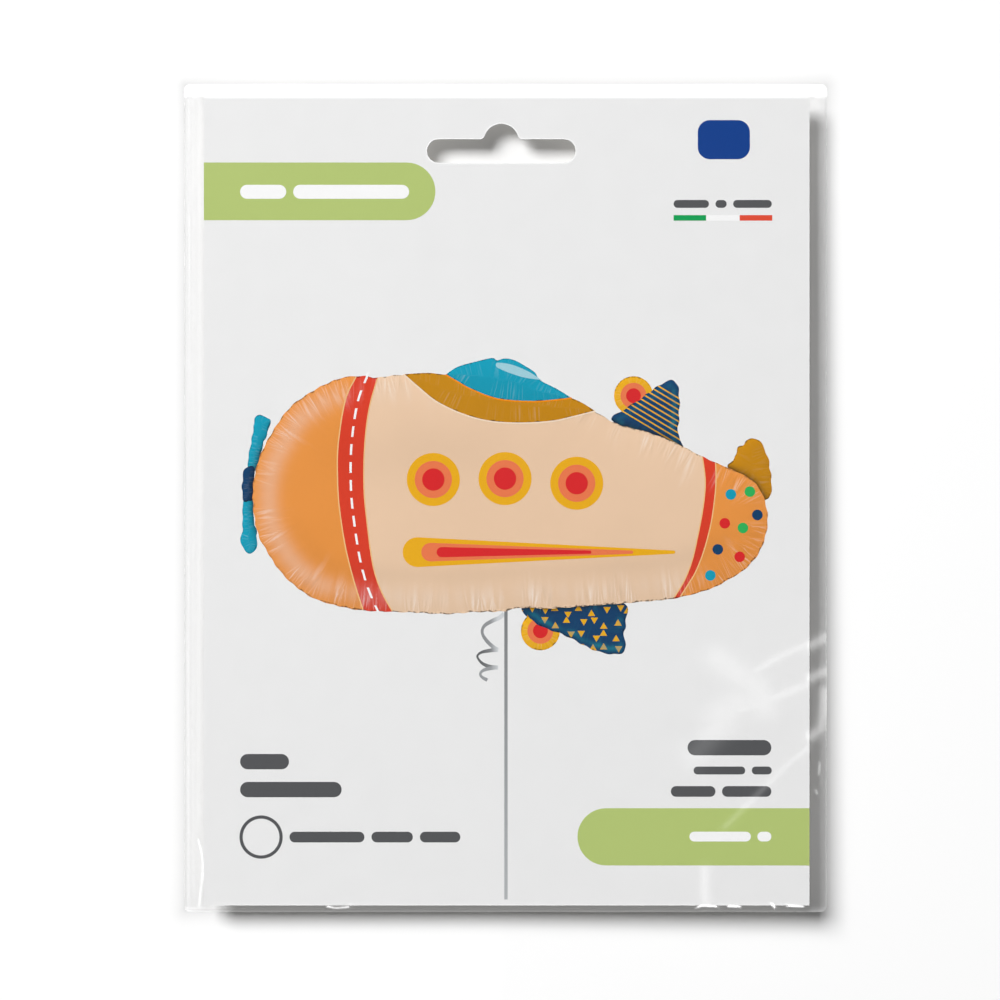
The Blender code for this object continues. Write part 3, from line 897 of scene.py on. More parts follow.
# The printed ribbon: a straight fall, and a curl in three turns, dark on the left and pale on the right.
RIBBON_X = 1.0
RIBBON_ENDS = (-104.6, -166.6)
RIBBON_WIDTH = 0.72
RIBBON_TURNS = (
    ((0.6, -105.2), (-0.45, -106.1), (-2.0, -106.8), (-3.5, -107.7), (-4.1, -108.8), (-3.9, -109.9),
     (-3.0, -111.2), (-1.7, -112.4), (-0.7, -113.0)),
    ((-0.7, -113.0), (-2.2, -113.1), (-4.2, -113.5), (-5.1, -114.2), (-4.9, -115.0), (-3.9, -116.0),
     (-2.4, -116.6), (-0.7, -116.8)),
    ((-1.4, -116.8), (-2.6, -117.0), (-3.9, -117.4), (-4.5, -118.1), (-4.2, -118.8), (-3.0, -119.5)),
)
RIBBON_TURN_TONES = (0.9, 0.42, 1.1)


def add_printed_ribbon(ink):
    straight = np.stack([np.full(12, RIBBON_X), np.linspace(*RIBBON_ENDS, 12)], 1)
    flat_ink("print_ribbon", [strip(straight, RIBBON_WIDTH)], ink, 0.4, (), straight_ribbon_tone)
    for number, (points, dark) in enumerate(zip(RIBBON_TURNS, RIBBON_TURN_TONES)):
        path = smooth_through(points, 6, False)
        turn = strip(path, np.interp(path[:, 0], (-5.0, -3.4, -1.0), (0.45, 0.75, 0.9)))
        tone = partial(curled_ribbon_tone, dark=dark)
        flat_ink(f"print_ribbon_curl_{number + 1}", [turn], ink, 0.25 + 0.15 * number, (), tone)


def straight_ribbon_tone(plan):
    return np.interp(plan[:, 1], RIBBON_ENDS[::-1], (1.5, 0.7))


def curled_ribbon_tone(plan, dark):
    return np.interp(plan[:, 0], (-4.4, -2.2, -0.8), (dark, 0.5 * dark + 0.55, 2.1))


# Plain bars in place of words, as rows of spans from left to right with their middle and height.
WHITE_BARS = (
    (((-56.1, -46.2), (-44.7, -19.8)), -14.6, 3.0),
    (((40.4, 53.6), (55.0, 58.0)), -153.1, 2.1),
)
GREY_BARS = (
    (((-56.1, -45.6),), -137.0, 3.3),
    (((-56.1, -34.3),), -143.0, 3.3),
    (((-45.5, -29.4), (-27.9, -19.0), (-17.5, -8.8)), -153.2, 2.3),
    (((40.0, 58.0),), -134.0, 3.3),
    (((41.3, 52.4), (53.8, 58.1)), -138.9, 1.7),
    (((36.4, 46.0), (47.4, 58.0)), -143.4, 2.3),
    (((37.0, 44.6), (46.0, 48.4), (49.8, 58.1)), -17.2, 1.7),
)
RING_CENTRE = (-51.6, -153.2)
RING_RADII = (4.65, 3.95)
BLOCK = (42.2, 53.4, -7.6, 0.8)
TRICOLOUR = (("flag green", 37.0, 44.0), ("white", 44.0, 51.2), ("flag red", 51.2, 58.2))
TRICOLOUR_LEVELS = (-20.8, -19.6)


def bars(rows):
    """Plain rounded bars that stand where words would be."""
    shapes = []
    for spans, z, height in rows:
        shapes += [rounded_box(*span, z - height / 2, z + height / 2, height / 2.02, 6) for span in spans]
    return shapes


def band(edge, end, middle, radius):
    """A band from the card's edge to a round end."""
    start, stop = (90, -90) if end > edge else (270, 90)
    tip = arc((end, middle), radius, start, stop, 20)
    return np.concatenate([[(edge, tip[0, 1])], tip, [(edge, tip[-1, 1])]])


def add_layout_print(inks):
    """The card's bands, plain bars in place of words, a block, an empty ring, and the three-colour bar."""
    flat_ink("print_band_top", [band(CARD_LOW[0], -20.35, -14.5, 6.2)], inks["green band"])
    flat_ink("print_band_bottom", [band(CARD_HIGH[0], 22.5, -153.15, 6.15)], inks["green band"])
    flat_ink("print_bars_white", bars(WHITE_BARS), inks["white"], 2)
    flat_ink("print_bars_grey", bars(GREY_BARS), inks["grey"])
    ring, hole = (disc(RING_CENTRE, radius, 48) for radius in RING_RADII)
    flat_ink("print_ring", [ring], inks["grey"], 1, [hole])
    flat_ink("print_bar_blue", [rounded_box(*BLOCK, 2.6)], inks["deep blue"])
    low, high = TRICOLOUR_LEVELS
    for ink, start, end in TRICOLOUR:
        corners = [(start, low), (end, low), (end, high), (start, high)]
        flat_ink("print_" + ink.replace(" ", "_"), [corners], inks[ink])


def add_card():
    card = frame["nodes"]["insert_card"]
    card.data.materials.clear()
    card.data.materials.append(board_material())
    inks = {name: ink_material("ink_" + name.replace(" ", "_"), colour) for name, colour in INKS.items()}
    for pattern in ("stripes", "triangles"):
        name = "navy " + pattern
        inks[name] = ink_material("ink_navy_" + pattern, INKS["navy"], "print " + pattern, TEAL_SHEEN)
    add_layout_print(inks)
    body = add_printed_body(inks)
    add_printed_canopy(inks)
    add_printed_motifs(inks)
    add_printed_pieces(inks, body)
    add_printed_ribbon(inks["ribbon"])


# The film bag.
BAG = (FRONT_LOW[0], FRONT_HIGH[0], FRONT_LOW[2], FRONT_HIGH[2])
CARD = (CARD_LOW[0], CARD_HIGH[0], CARD_LOW[2], CARD_HIGH[2])
BUNDLE = (ENVELOPE_LOW[0], ENVELOPE_HIGH[0], ENVELOPE_LOW[2], ENVELOPE_HIGH[2])
CREASE_ROWS = (-2.0, -1.2, -0.7, -0.35, 0.0, 0.35, 0.7, 1.2, 2.0)
SLOT_RINGS = (0.32, 0.6)

# Creases of the front film: points along it, half width, and height towards the viewer.
FRONT_CREASES = (
    (((-66.8, 6.5), (-66.6, -60), (-66.9, -120), (-66.7, -166)), 0.30, 0.03),
    (((-65.6, 4.0), (-65.5, -50), (-65.7, -110), (-65.4, -150), (-64.6, -158.5), (-65.3, -168)), 0.35, 0.03),
    (((68.9, 6.0), (69.0, -60), (68.8, -168)), 0.30, 0.06),
    (((-66.0, 7.5), (0, 7.6), (66, 7.4)), 0.28, 0.04),
    (((54.5, -117.6), (60.0, -114.2), (66.3, -112.0), (69.6, -110.2)), 0.9, 0.03),
    (((44.6, -130.8), (53.4, -124.2), (58.0, -121.6), (64.8, -119.9), (69.5, -117.4)), 1.0, 0.03),
    (((47.4, -156.2), (54.3, -146.1), (60.5, -138.6), (66.4, -133.9), (69.4, -129.8)), 0.9, 0.03),
    (((49.0, -114.0), (52.0, -119.0), (53.5, -126.0)), 1.5, 0.05),
    (((43.8, -160.0), (43.6, -164), (44.0, -168.4)), 0.8, 0.08),
    (((-63.4, -154.0), (-62.0, -160.5), (-64.0, -168.4)), 0.6, 0.09),
)
FRONT_CRUMPLES = ((-35.0, 2.2), (-33.2, 0.9), (44.4, 1.8), (49.8, 1.4), (58.9, 0.8), (63.2, 1.7))

# Painted highlights and glints of the front film, drawn as milky lines where it is stretched or catches
# light: points, half width, strength.
FRONT_PAINTED_HIGHLIGHTS = (
    (((54.5, -117.5), (60.5, -114.0), (66.0, -111.9)), 0.8, 0.045),
    (((49.5, -126.0), (55.2, -124.8), (61.0, -122.2), (66.0, -120.3)), 1.0, 0.045),
    (((48.0, -151.0), (53.8, -145.2), (61.5, -137.6), (66.0, -134.0)), 0.7, 0.04),
    (((66.6, -112.0), (69.4, -110.4)), 1.1, 0.13),
    (((66.6, -119.0), (69.3, -117.6)), 1.1, 0.13),
    (((66.6, -131.5), (68.8, -129.0), (69.5, -122.0)), 1.2, 0.13),
    (((46.0, -114.5), (50.0, -117.5), (54.5, -121.0), (56.5, -125.0)), 3.0, 0.04),
    (((45.5, -127.0), (51.0, -124.0), (55.0, -124.0)), 2.6, 0.035),
    (((41.0, -136.0), (45.5, -131.0), (49.0, -127.0)), 2.8, 0.035),
    (((43.8, -160.2), (43.6, -164.5), (44.2, -167.6)), 1.2, 0.05),
    (((-65.1, -153.8), (-64.1, -158.8), (-64.9, -168.0)), 0.2, 0.14),
    (((-67.1, 8.0), (-67.0, -60.0), (-67.2, -120.0), (-67.1, -168.8)), 0.2, 0.05),
    (((-66.2, 7.0), (-66.1, -70.0), (-66.2, -130.0), (-66.1, -168.6)), 0.2, 0.03),
    (((-64.9, 6.5), (-64.8, -50.0), (-65.0, -110.0), (-65.1, -150.0)), 0.2, 0.03),
    (((-37.2, -168.1), (-35.5, -168.4), (-32.8, -168.2)), 0.2, 0.6),
    (((42.2, -168.2), (43.4, -167.9), (46.2, -168.1)), 0.2, 0.65),
    (((48.8, -168.0), (51.1, -168.1)), 0.22, 0.7),
    (((58.4, -167.9), (58.7, -168.3)), 0.22, 0.7),
    (((61.8, -167.9), (64.7, -168.1)), 0.2, 0.65),
    (((68.4, -137.5), (68.2, -139.5)), 0.3, 0.12),
    (((67.6, -143.2), (67.8, -143.8)), 0.3, 0.12),
)

# How far the front film stands proud of its flat, at most.
FILM_PLAY = 0.12

# Milkiness of both films, its unevenness, and what their welded rim adds.
HAZE = 0.003
HAZE_SWING = 0.002
HAZE_RIM = 0.01

# Painted light that the front film adds as milkiness around the card, at its rim and around its slot.
PAINTED_LIGHT_ABOVE = 0.3
PAINTED_LIGHT_BELOW = 0.05
PAINTED_LIGHT_LEFT = 0.02
PAINTED_LIGHT_RIGHT = 0.045
PAINTED_LIGHT_RIGHT_EDGE = 0.02
RIGHT_EDGE = 69.1
PAINTED_LIGHT_RIM = 0.03
PAINTED_LIGHT_SLOT = 0.09

# Creases of the back film, drawn in from the pocket's corners and across its flat.
BACK_CREASES = (
    (((-62.5, -15.5), (-50, -27), (-34, -37), (-20, -43)), 1.3, -0.13),
    (((-60, -14.5), (-48, -20), (-30, -25)), 1.0, -0.11),
    (((64.0, -15.5), (54, -28), (44, -45), (38, -60)), 1.3, -0.13),
    (((62, -15), (48, -21.5), (28, -25)), 1.0, -0.10),
    (((-62.0, -164.5), (-52, -152), (-45, -136), (-41, -122)), 1.3, -0.13),
    (((64.0, -164.5), (52, -153), (36, -144), (24, -139)), 1.3, -0.13),
    (((1.0, -22), (2.2, -60), (0.2, -100), (1.4, -158)), 1.6, -0.12),
    (((-57, -70), (-38, -66), (-16, -69)), 1.1, -0.09),
    (((59, -96), (40, -92), (16, -97)), 1.1, -0.09),
    (((-56, -118), (-36, -124), (-12, -121)), 1.1, -0.09),
)


# Pleats of the back film on the pocket's slope, and how far it dips over the bundle.
PLEATS = 46
PLEAT_PLACE = 2.6
PLEAT_WIDTH = 2.2
POCKET_DIP = 0.24
POCKET_LEAST = 0.2


def crease_points(creases):
    """Rows of points along each crease, close enough across it to hold its shape."""
    rows = []
    for points, half_width, _ in creases:
        path = resampled(smooth_line(points), 1.2, False)
        rows += [path + sides_of(path) * offset * half_width for offset in CREASE_ROWS]
    return np.concatenate(rows)


def crease_height(plan, creases):
    """How far the creases push the film out, at each plan point."""
    total = np.zeros(len(plan))
    for points, half_width, height in creases:
        path = smooth_line(points)
        length = np.linalg.norm(np.diff(path, axis=0), axis=1).sum()
        distance, along, _ = nearest(plan, path, False)
        fade = ease(along / (0.25 * length)) * ease((length - along) / (0.25 * length))
        total += height * bell(distance, half_width) * (0.15 + 0.85 * fade)
    return total


def outside_box(plan, box, corner=0.0):
    """Signed distance outside a rectangle with round corners."""
    left, right, bottom, top = box
    low, high = np.array([left, bottom]), np.array([right, top])
    offset = np.abs(plan - (low + high) / 2) - (high - low) / 2 + corner
    return np.linalg.norm(np.maximum(offset, 0), axis=1) + np.minimum(offset.max(1), 0) - corner


def film_over_card(plan):
    """Distance of the film from the bag's mid plane where it runs from the seam over the card."""
    from_seam = np.maximum(-outside_box(plan, BAG, BAG_CORNER) - SEAM_WIDTH, 0)
    to_card = np.maximum(outside_box(plan, CARD) - GAP, 0)
    share = from_seam / np.maximum(from_seam + to_card, 1e-6)
    return RIM_DEPTH + (CARD_BACK + GAP - RIM_DEPTH) * share


def bag_outline():
    outline = resampled(rounded_box(*BAG, BAG_CORNER), 1.0)
    middle = np.array([(BAG[0] + BAG[1]) / 2, (BAG[2] + BAG[3]) / 2])
    return moved_inward(outline, middle, 0.12 + 0.12 * waves(outline, 14.0, 2.0))


def widened(loop, distance):
    """A closed loop moved outward by a distance."""
    along = np.roll(loop, -1, 0) - np.roll(loop, 1, 0)
    along /= np.linalg.norm(along, axis=1)[:, None]
    side = np.stack([along[:, 1], -along[:, 0]], 1)
    grows = inside(loop + 0.01 * side, loop).mean() < 0.5
    return loop + side * (distance if grows else -distance)


def film_plan(creases, edge_lines):
    slot = plan_loops("insert_card")[1]
    extra = np.concatenate([crease_points(creases), *(widened(resampled(slot, 0.9), d) for d in SLOT_RINGS)])
    loop = bag_outline()
    keep = (nearest(extra, loop)[0] > 0.3) & (nearest(extra, slot)[0] > 0.3)
    return fill([loop, slot], 1.5, 0.9, 6.0, edge_lines, extra[keep])


def grown_box(box, size, corner):
    left, right, bottom, top = box
    return rounded_box(left - size, right + size, bottom - size, top + size, corner)


def add_front_film(material):
    rings = [grown_box(CARD, GAP, GAP), grown_box(BAG, -SEAM_WIDTH, 1.0)]
    plan, faces = film_plan(FRONT_CREASES + FRONT_PAINTED_HIGHLIGHTS, [np.concatenate([ring, ring[:1]]) for ring in rings])
    inner = film_over_card(plan)
    lift = crease_height(plan, FRONT_CREASES)
    for x, width in FRONT_CRUMPLES:
        offset = plan - np.array([x, CARD_LOW[2]])
        near = np.exp(-((offset[:, 0] / width) ** 2) - (offset[:, 1] / 0.9) ** 2)
        lift += 0.16 * near * (0.4 + crumple(plan, 0.7, x))
    lift += 0.025 * waves(plan, 16.0, 4.0) + 0.012 * waves(plan, 5.0, 6.0)
    calm = ease(-outside_box(plan, BAG, BAG_CORNER) / 2.0)
    inner = inner + FILM_PLAY * np.tanh(lift / FILM_PLAY) * calm
    # The haze attribute of the front film also carries its painted light: highlights, glints and brighter
    # margins.
    shades = [("haze", haze(plan) + painted_film_light(plan))]
    film = add_plate("front_film", plan, faces, -inner - FILM, -inner, [material], None, shades)
    hide_film_from_light(film)
    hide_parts("bag_front_film")


def haze(plan):
    """Faint milkiness, a little uneven, and stronger at the welded rim."""
    rim = bell(outside_box(plan, BAG, BAG_CORNER), 0.5)
    return HAZE + HAZE_SWING * waves(plan, 20.0, 30.0) + HAZE_RIM * rim


def painted_film_light(plan):
    """Painted light on the front film as milkiness of its lines, margins and rims: highlights, glints and
    brighter margins.
    """
    total = np.zeros(len(plan))
    for points, half_width, strength in FRONT_PAINTED_HIGHLIGHTS:
        distance = nearest(plan, smooth_line(points), False)[0]
        total = np.maximum(total, strength * bell(distance, half_width))
    x, z = plan.T
    total += PAINTED_LIGHT_ABOVE * ease((z - CARD_HIGH[2]) / 0.5) + PAINTED_LIGHT_BELOW * ease((CARD_LOW[2] - z) / 0.4)
    total += PAINTED_LIGHT_LEFT * ease((CARD_LOW[0] - 0.2 - x) / 0.6) + PAINTED_LIGHT_RIGHT_EDGE * ease((x - RIGHT_EDGE) / 0.3)
    total += PAINTED_LIGHT_RIGHT * ease((x - CARD_HIGH[0]) / 0.4) * ease((RIGHT_EDGE + 0.5 - x) / 1.2)
    total += PAINTED_LIGHT_RIM * bell(outside_box(plan, BAG, BAG_CORNER), 0.35)
    return total + PAINTED_LIGHT_SLOT * bell(nearest(plan, plan_loops("insert_card")[1])[0], 0.2)


def hide_film_from_light(film):
    """Clear film casts no shadow worth tracing, and only the camera and reflections see it."""
    film.visible_shadow = False
    film.visible_diffuse = False


def add_back_film(material):
    plan, faces = film_plan(BACK_CREASES, [])
    base = film_over_card(plan)
    outside = outside_box(plan, BUNDLE, POCKET_CORNER)
    shoulder = ENVELOPE_HIGH[1] + PASS_THICKNESS / 2
    crest = BACK_HIGH[1] - FILM
    levels = (-3.0, POCKET_CREST, POCKET_SHOULDER, POCKET_FOOT)
    pocket = np.interp(outside, levels, (crest, crest - 0.02, shoulder, CARD_BACK + GAP))
    inner = np.where(outside < POCKET_FOOT, np.maximum(pocket, base), base)
    around = np.arctan2(plan[:, 1] - plan[:, 1].mean(), plan[:, 0] - plan[:, 0].mean())
    pleats = np.sin(around * PLEATS + 3 * waves(plan, 18.0, 9.0)) * bell(outside - PLEAT_PLACE, PLEAT_WIDTH)
    lift = crease_height(plan, BACK_CREASES) - 0.05 + 0.05 * waves(plan, 11.0, 12.0) + 0.09 * pleats
    on_flat = ease((POCKET_CREST - outside) / 2.0)
    lift = np.where(outside < 0, np.clip(lift, -POCKET_DIP, 0.0), lift)
    calm = ease(-outside_box(plan, BAG, BAG_CORNER) / 2.5)
    inner = np.maximum(inner + lift * calm * np.where(outside < POCKET_FOOT + 3, 1.0, 0.35), RIM_DEPTH)
    inner = np.where(on_flat > 0.5, np.maximum(inner, crest - POCKET_LEAST), inner)
    shades = [("haze", haze(plan))]
    film = add_plate("back_film", plan, faces, inner, inner + FILM, [material], None, shades)
    hide_film_from_light(film)
    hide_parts("bag_back_film")


# The folded balloon.
ROW_STEP = 1.5
TOP_COLUMNS = 46
FLAP_EDGE = -96.0
FLAP_SLOPE = 0.10
FLAP_LIFT = 0.10
HEM = 3.6
BEND_STEPS = 8
TOP_WRINKLE = 0.09
LOWER_WRINKLE = 0.03
NOSE_MARGIN = 3.0


def free_edge_x(side, z):
    """X of the top pass's free edge: the round nose on the left, the tapered tail on the right."""
    left, right, bottom, top = BUNDLE
    if side < 0:
        half = (top - bottom) / 2 + NOSE_MARGIN
        radius = (half**2 + NOSE_SAGITTA**2) / (2 * NOSE_SAGITTA)
        tip = left + PASSES * FOLD_STEP / 2 + FREE_EDGE_INSET
        return tip + radius - np.sqrt(radius**2 - (z - (bottom + top) / 2) ** 2)
    tip = right - PASSES * FOLD_STEP / 2 - FREE_EDGE_INSET
    slope_start = (left + right) / 2 + TAIL_SLOPE_START
    centre_x = tip - TAIL_SHOULDER - TAIL_RADIUS
    upper = arc((centre_x, top - TAIL_DROP), TAIL_RADIUS, 70, 8)
    lower = arc((centre_x, bottom + TAIL_DROP), TAIL_RADIUS, -8, -70)
    edge = np.concatenate([[(slope_start, top)], upper, lower, [(slope_start, bottom)]])[::-1]
    return np.interp(z, edge[:, 1], edge[:, 0])


def fold_path(side):
    """One pile from the middle of the bottom pass to its free end: rows of (x, y, heading, pass, share)."""
    left, right = BUNDLE[:2]
    centre = (left + right) / 2
    outer_edge = right if side > 0 else left
    inner_edge = centre + side * PILE_GAP / 2
    first_y = ENVELOPE_LOW[1] + PASS_THICKNESS / 2
    bend = PASS_PITCH / 2
    reach = bend + PASS_THICKNESS / 2
    start_heading = 0.0 if side > 0 else math.pi
    path = [(centre, first_y, start_heading, 0, 0.0)]
    for level in range(PASSES):
        y = first_y + level * PASS_PITCH
        if level % 2 == 0:
            facing, fold_x = side, outer_edge - side * (reach + level * FOLD_STEP / 2)
        else:
            facing, fold_x = -side, inner_edge + side * reach
        if level == PASSES - 1:
            columns = np.linspace(path[-1][0], fold_x, TOP_COLUMNS)[1:-1]
            path += [(x, y, math.pi - start_heading, level, 0.0) for x in columns]
        for turn in np.linspace(0, math.pi, BEND_STEPS + 1):
            heading = turn if facing > 0 else math.pi - turn
            x, rise = fold_x + facing * bend * math.sin(turn), bend - bend * math.cos(turn)
            path.append((x, y + rise, heading, level, 0.0))
    top = (path[-1][0], first_y + PASSES * PASS_PITCH, start_heading, PASSES)
    return path + [(*top, share) for share in np.linspace(0, 1, TOP_COLUMNS)[1:]]


def pass_relief(x, plan, level, share, flap):
    """Wrinkles of a flat pass, and on the top one the step and the hem where the lower flap ends."""
    wrinkle = 0.6 * crumple(plan, 9.0, level) + 0.25 * crumple(plan, 3.4, level + 5)
    wrinkle += 0.3 * waves(plan, 22.0, level)
    size = TOP_WRINKLE if level == PASSES else LOWER_WRINKLE
    relief = size * (wrinkle - 0.25) * min(1.0, abs(x - (BUNDLE[0] + BUNDLE[1]) / 2) / 6 + share * 4)
    if level == PASSES and share > 0:
        up = plan[:, 1] - flap
        step = ease((up + 0.35) / 0.35) * FLAP_LIFT
        hem = np.exp(-(((up - HEM / 2) / (HEM / 2)) ** 4))
        pucker = np.sin(plan[:, 0] * 4.4 + 2 * waves(plan, 5.0, 7.0))
        relief += (step + hem * (0.012 * pucker - 0.03)) * min(1.0, share * 6)
    return relief


ORANGE, CREAM, RED, SILVER, DOTTED = range(5)
ENVELOPE_FOILS = ("orange", "cream", "red", "silver_weld", "orange_dotted")


def envelope_skin(level, side):
    """Foil of a pass: the nose pile runs from cream over red to orange, the tail pile to dotted orange."""
    if side < 0:
        return ORANGE if level >= 3 else (RED if level == 2 else CREAM)
    return DOTTED if level >= 5 else (RED if level == 4 else CREAM)


def add_envelope(foils):
    bottom, top = BUNDLE[2:]
    nose = [(x, y, heading + math.pi, *row, -1) for x, y, heading, *row in fold_path(-1)[:0:-1]]
    path = nose + [(*row, 1) for row in fold_path(1)[1:]]
    rows = int((top - bottom) / ROW_STEP)
    flap_row = int(rows * (FLAP_EDGE - bottom) / (top - bottom))
    half = PASS_THICKNESS / 2
    above, below = [], []
    for x, y, heading, level, share, side in path:
        flap = FLAP_EDGE + FLAP_SLOPE * x
        low = np.linspace(bottom, flap, flap_row + 1)
        z = np.concatenate([low, np.linspace(flap, top, rows - flap_row + 2)[1:]])
        xs = x + share * (free_edge_x(side, z) - x)
        ys = np.full(len(z), y)
        if level >= PASSES - 1 and abs(math.sin(heading)) < 0.01:
            ys += pass_relief(x, np.stack([xs, z], 1), level, share, flap)
        for sheet, offset in ((above, half), (below, -half)):
            sheet.append(np.stack([xs - offset * math.sin(heading), ys + offset * math.cos(heading), z], 1))
    columns, count = np.shape(above)[:2]
    corner = (np.arange(columns - 1)[:, None] * count + np.arange(count - 1)).ravel()
    quads = np.stack([corner, corner + count, corner + count + 1, corner + 1], 1).tolist()
    faces, walls = closed_faces(quads, columns * count)
    skins = [envelope_skin(row[3], row[5]) for row in path[:-1]]
    index = np.repeat(np.array(skins)[:, None], count - 1, 1)
    index[[row[3] == PASSES for row in path[:-1]], flap_row:flap_row + 3] = SILVER
    index = list(index.ravel()) * 2
    for first, second, *_ in walls:
        is_end = first // count == second // count
        index.append(SILVER if is_end else skins[min(first, second) // count])
    materials = [foils[name] for name in ENVELOPE_FOILS]
    vertices = np.concatenate([*above, *below])
    envelope = add_mesh("folded_envelope", vertices, faces + walls, materials, index)
    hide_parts("envelope")


# Shares of a foil piece's thickness: its weld, its puffed middle, the wrinkles, and the crimps of the weld.
WELD_SHARE = 0.42
PUFF_SHARE = 0.42
WRINKLE_SHARE = 0.3
CRIMP_SHARE = 0.07


def add_foil_piece(name, node, material, hem_material, seed, hem, puff=1.0):
    """A flat foil piece in its node's place: a thin crimped weld around crumpled skin."""
    low, high = box_mm(node)
    outline = scalloped(plan_loops(node)[0], 0.35, seed)
    plan, faces = fill([outline], 0.9, 0.6, 3.0)
    distance, along, _ = nearest(plan, outline)
    body = ease((distance - hem * 0.5) / (hem * 1.1))
    crimp = np.sin(along * 3.6 + 2 * waves(on_ring(along), 3.0, seed)) * bell(distance - hem, 1.5)
    wrinkle = 0.55 * crumple(plan, 6.0, seed) + 0.3 * crumple(plan, 2.4, seed + 2)
    thick = high[1] - low[1]
    raised = body * (PUFF_SHARE * puff + WRINKLE_SHARE * (wrinkle - 0.35))
    back = low[1] + thick * (WELD_SHARE + raised + CRIMP_SHARE * crimp)
    back = np.minimum(back, high[1] + 0.02)
    index = (nearest(plan[faces].mean(1), outline)[0] > hem).astype(int)
    piece = add_plate(name, plan, faces, low[1], back, [hem_material, material], index)
    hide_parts(node)


# Foils of the balloon: colour, pattern, and how metallic it is.
ORANGE_FOIL = (0.78, 0.31, 0.07, 1.0)
NAVY_FOIL = (0.006, 0.06, 0.16, 1.0)
FOILS = {
    "silver_weld": ((0.72, 0.73, 0.75, 1.0), "plain", 1.0),
    "orange": (ORANGE_FOIL, "plain", 0.55),
    "cream": ((0.80, 0.58, 0.38, 1.0), "plain", 0.45),
    "red": ((0.72, 0.07, 0.03, 1.0), "plain", 0.55),
    "orange_dotted": (ORANGE_FOIL, "dots", 0.55),
    "navy": (NAVY_FOIL, "plain", 0.55),
    "navy_striped": (NAVY_FOIL, "stripes", 0.55),
    "navy_triangles": (NAVY_FOIL, "triangles", 0.55),
    "gold": ((0.66, 0.38, 0.04, 1.0), "plain", 0.7),
    "teal": ((0.01, 0.36, 0.52, 1.0), "plain", 0.55),
}

# Foil pieces on the bundle: node, foil, foil and slot of its weld, and the weld's width.
FOIL_PIECES = (
    ("wing_upper", "navy_striped", "navy", 1.6),
    ("wing_lower", "navy_triangles", "navy", 1.6),
    ("tail_fin", "gold", "gold", 1.6),
    ("propeller_blade_upper", "teal", "teal", 1.6),
    ("propeller_blade_lower", "teal", "teal", 1.6),
    ("propeller_hub", "navy", "navy", 1.2),
    ("engine_pad_upper", "gold", "gold", 1.4),
    ("engine_pad_lower", "gold", "gold", 1.4),
)


def add_balloon():
    foils = {name: foil_material("foil_" + name, *look) for name, look in FOILS.items()}
    add_envelope(foils)
    for number, (node, skin, weld, width) in enumerate(FOIL_PIECES, 1):
        add_foil_piece(node + "_foil", node, foils[skin], foils[weld], number, width)
    neck = neck_material()
    add_foil_piece("filling_neck_film", "filling_neck", neck, neck, 9, 1.0, 0.3)
    for piece in bpy.data.objects:
        if piece.name.endswith(("_foil", "_envelope")):
            piece.visible_diffuse = False


# Stage, lights and camera, in metres.
WALL_HALF = 0.3
WALL_TOP = 0.26
FLOOR_LEVEL = -0.29
FLOOR_HALF = 4.0
WALL_NEAR = 0.0046
WALL_BEND = -0.015
WALL_TILT = 0.013
WALL_TURN = 0.024
# Painted shade on the wall around and under the bag: its reach in millimetres, the wall's colour away from
# the bag and at the bag's edge, and the share of it that lies under the bag.
WALL_SHADE_REACH = 2.0
WALL_FAR = (0.965, 0.965, 0.965, 1.0)
WALL_PAINTED_SHADE = (0.7, 0.7, 0.7, 1.0)
WALL_SHADE_UNDER_BAG = 0.6

# Lights: name, place, size and power.
LIGHT_TARGET = (0.0, 0.0, -0.08)
LIGHTS = (
    ("key", (-1.675, -2.775, 1.53), (1.7, 1.4), 168.0),
    ("back_key", (-0.75, 1.0, 0.55), (0.7, 0.5), 11.0),
    ("back_fill", (0.9, 0.8, 0.1), (0.3, 0.9), 5.0),
)

# The camera, and what it sees at the card's front.
LENS = 135.0
SENSOR = 36.0
PICTURE_WIDTH = 0.2148
PICTURE_CENTRE = (-0.00028, -0.0808)


def add_stage_mesh(name, vertices, faces, material, hidden_from):
    mesh = bpy.data.meshes.new(name)
    mesh.from_pydata(vertices, [], faces)
    mesh.materials.append(material)
    obj = bpy.data.objects.new(name, mesh)
    bpy.context.scene.collection.objects.link(obj)
    for rays in hidden_from:
        setattr(obj, "visible_" + rays, False)


def beyond(coordinate, low, high):
    """How far a coordinate lies outside a span, negative inside it."""
    return (coordinate - (low + high) / 2).maths("ABSOLUTE") - (high - low) / 2


def wall_material():
    """White wall with painted shade close around and under the bag, that the camera sees from its front only.
    """
    material, tree = new_material("wall_white")
    place = place_mm(tree)
    x, _, z = split(place)
    across, up = beyond(x, *BAG[:2]), beyond(z, *BAG[2:])
    is_outside = across.maths("MAXIMUM", up) > 0.0
    distance = (across.maths("MAXIMUM", 0.0) ** 2.0 + up.maths("MAXIMUM", 0.0) ** 2.0).maths("SQRT")
    # Painted shade: darkest at the bag's edge and fading outward from it, with part of it over the wall under
    # the bag.
    fade = (distance / -WALL_SHADE_REACH).maths("EXPONENT") * (is_outside * (1 - WALL_SHADE_UNDER_BAG) + WALL_SHADE_UNDER_BAG)
    normal = bumped(noise_at(place, 1.5), 0.01)
    white = add_node(tree, "BsdfDiffuse", mixed(fade, WALL_FAR, WALL_PAINTED_SHADE), Normal=normal)
    is_back = add_node(tree, "NewGeometry", output="Backfacing")
    return finished(material, add_node(tree, "MixShader", is_back, white, add_node(tree, "BsdfTransparent")))


def floor_material():
    """Dull pale floor that glows enough for the camera to see it as white."""
    material, tree = new_material("floor_white")
    cloud = mixed(noise_at(place_mm(tree), 40.0), (0.10, 0.10, 0.10, 1.0), (0.12, 0.12, 0.12, 1.0))
    surface = add_node(
        tree, "BsdfPrincipled", Base_Color=cloud, Roughness=0.9, Specular_IOR_Level=0.0,
        Emission_Color=WHITE, Emission_Strength=0.84,
    )
    return finished(material, surface)


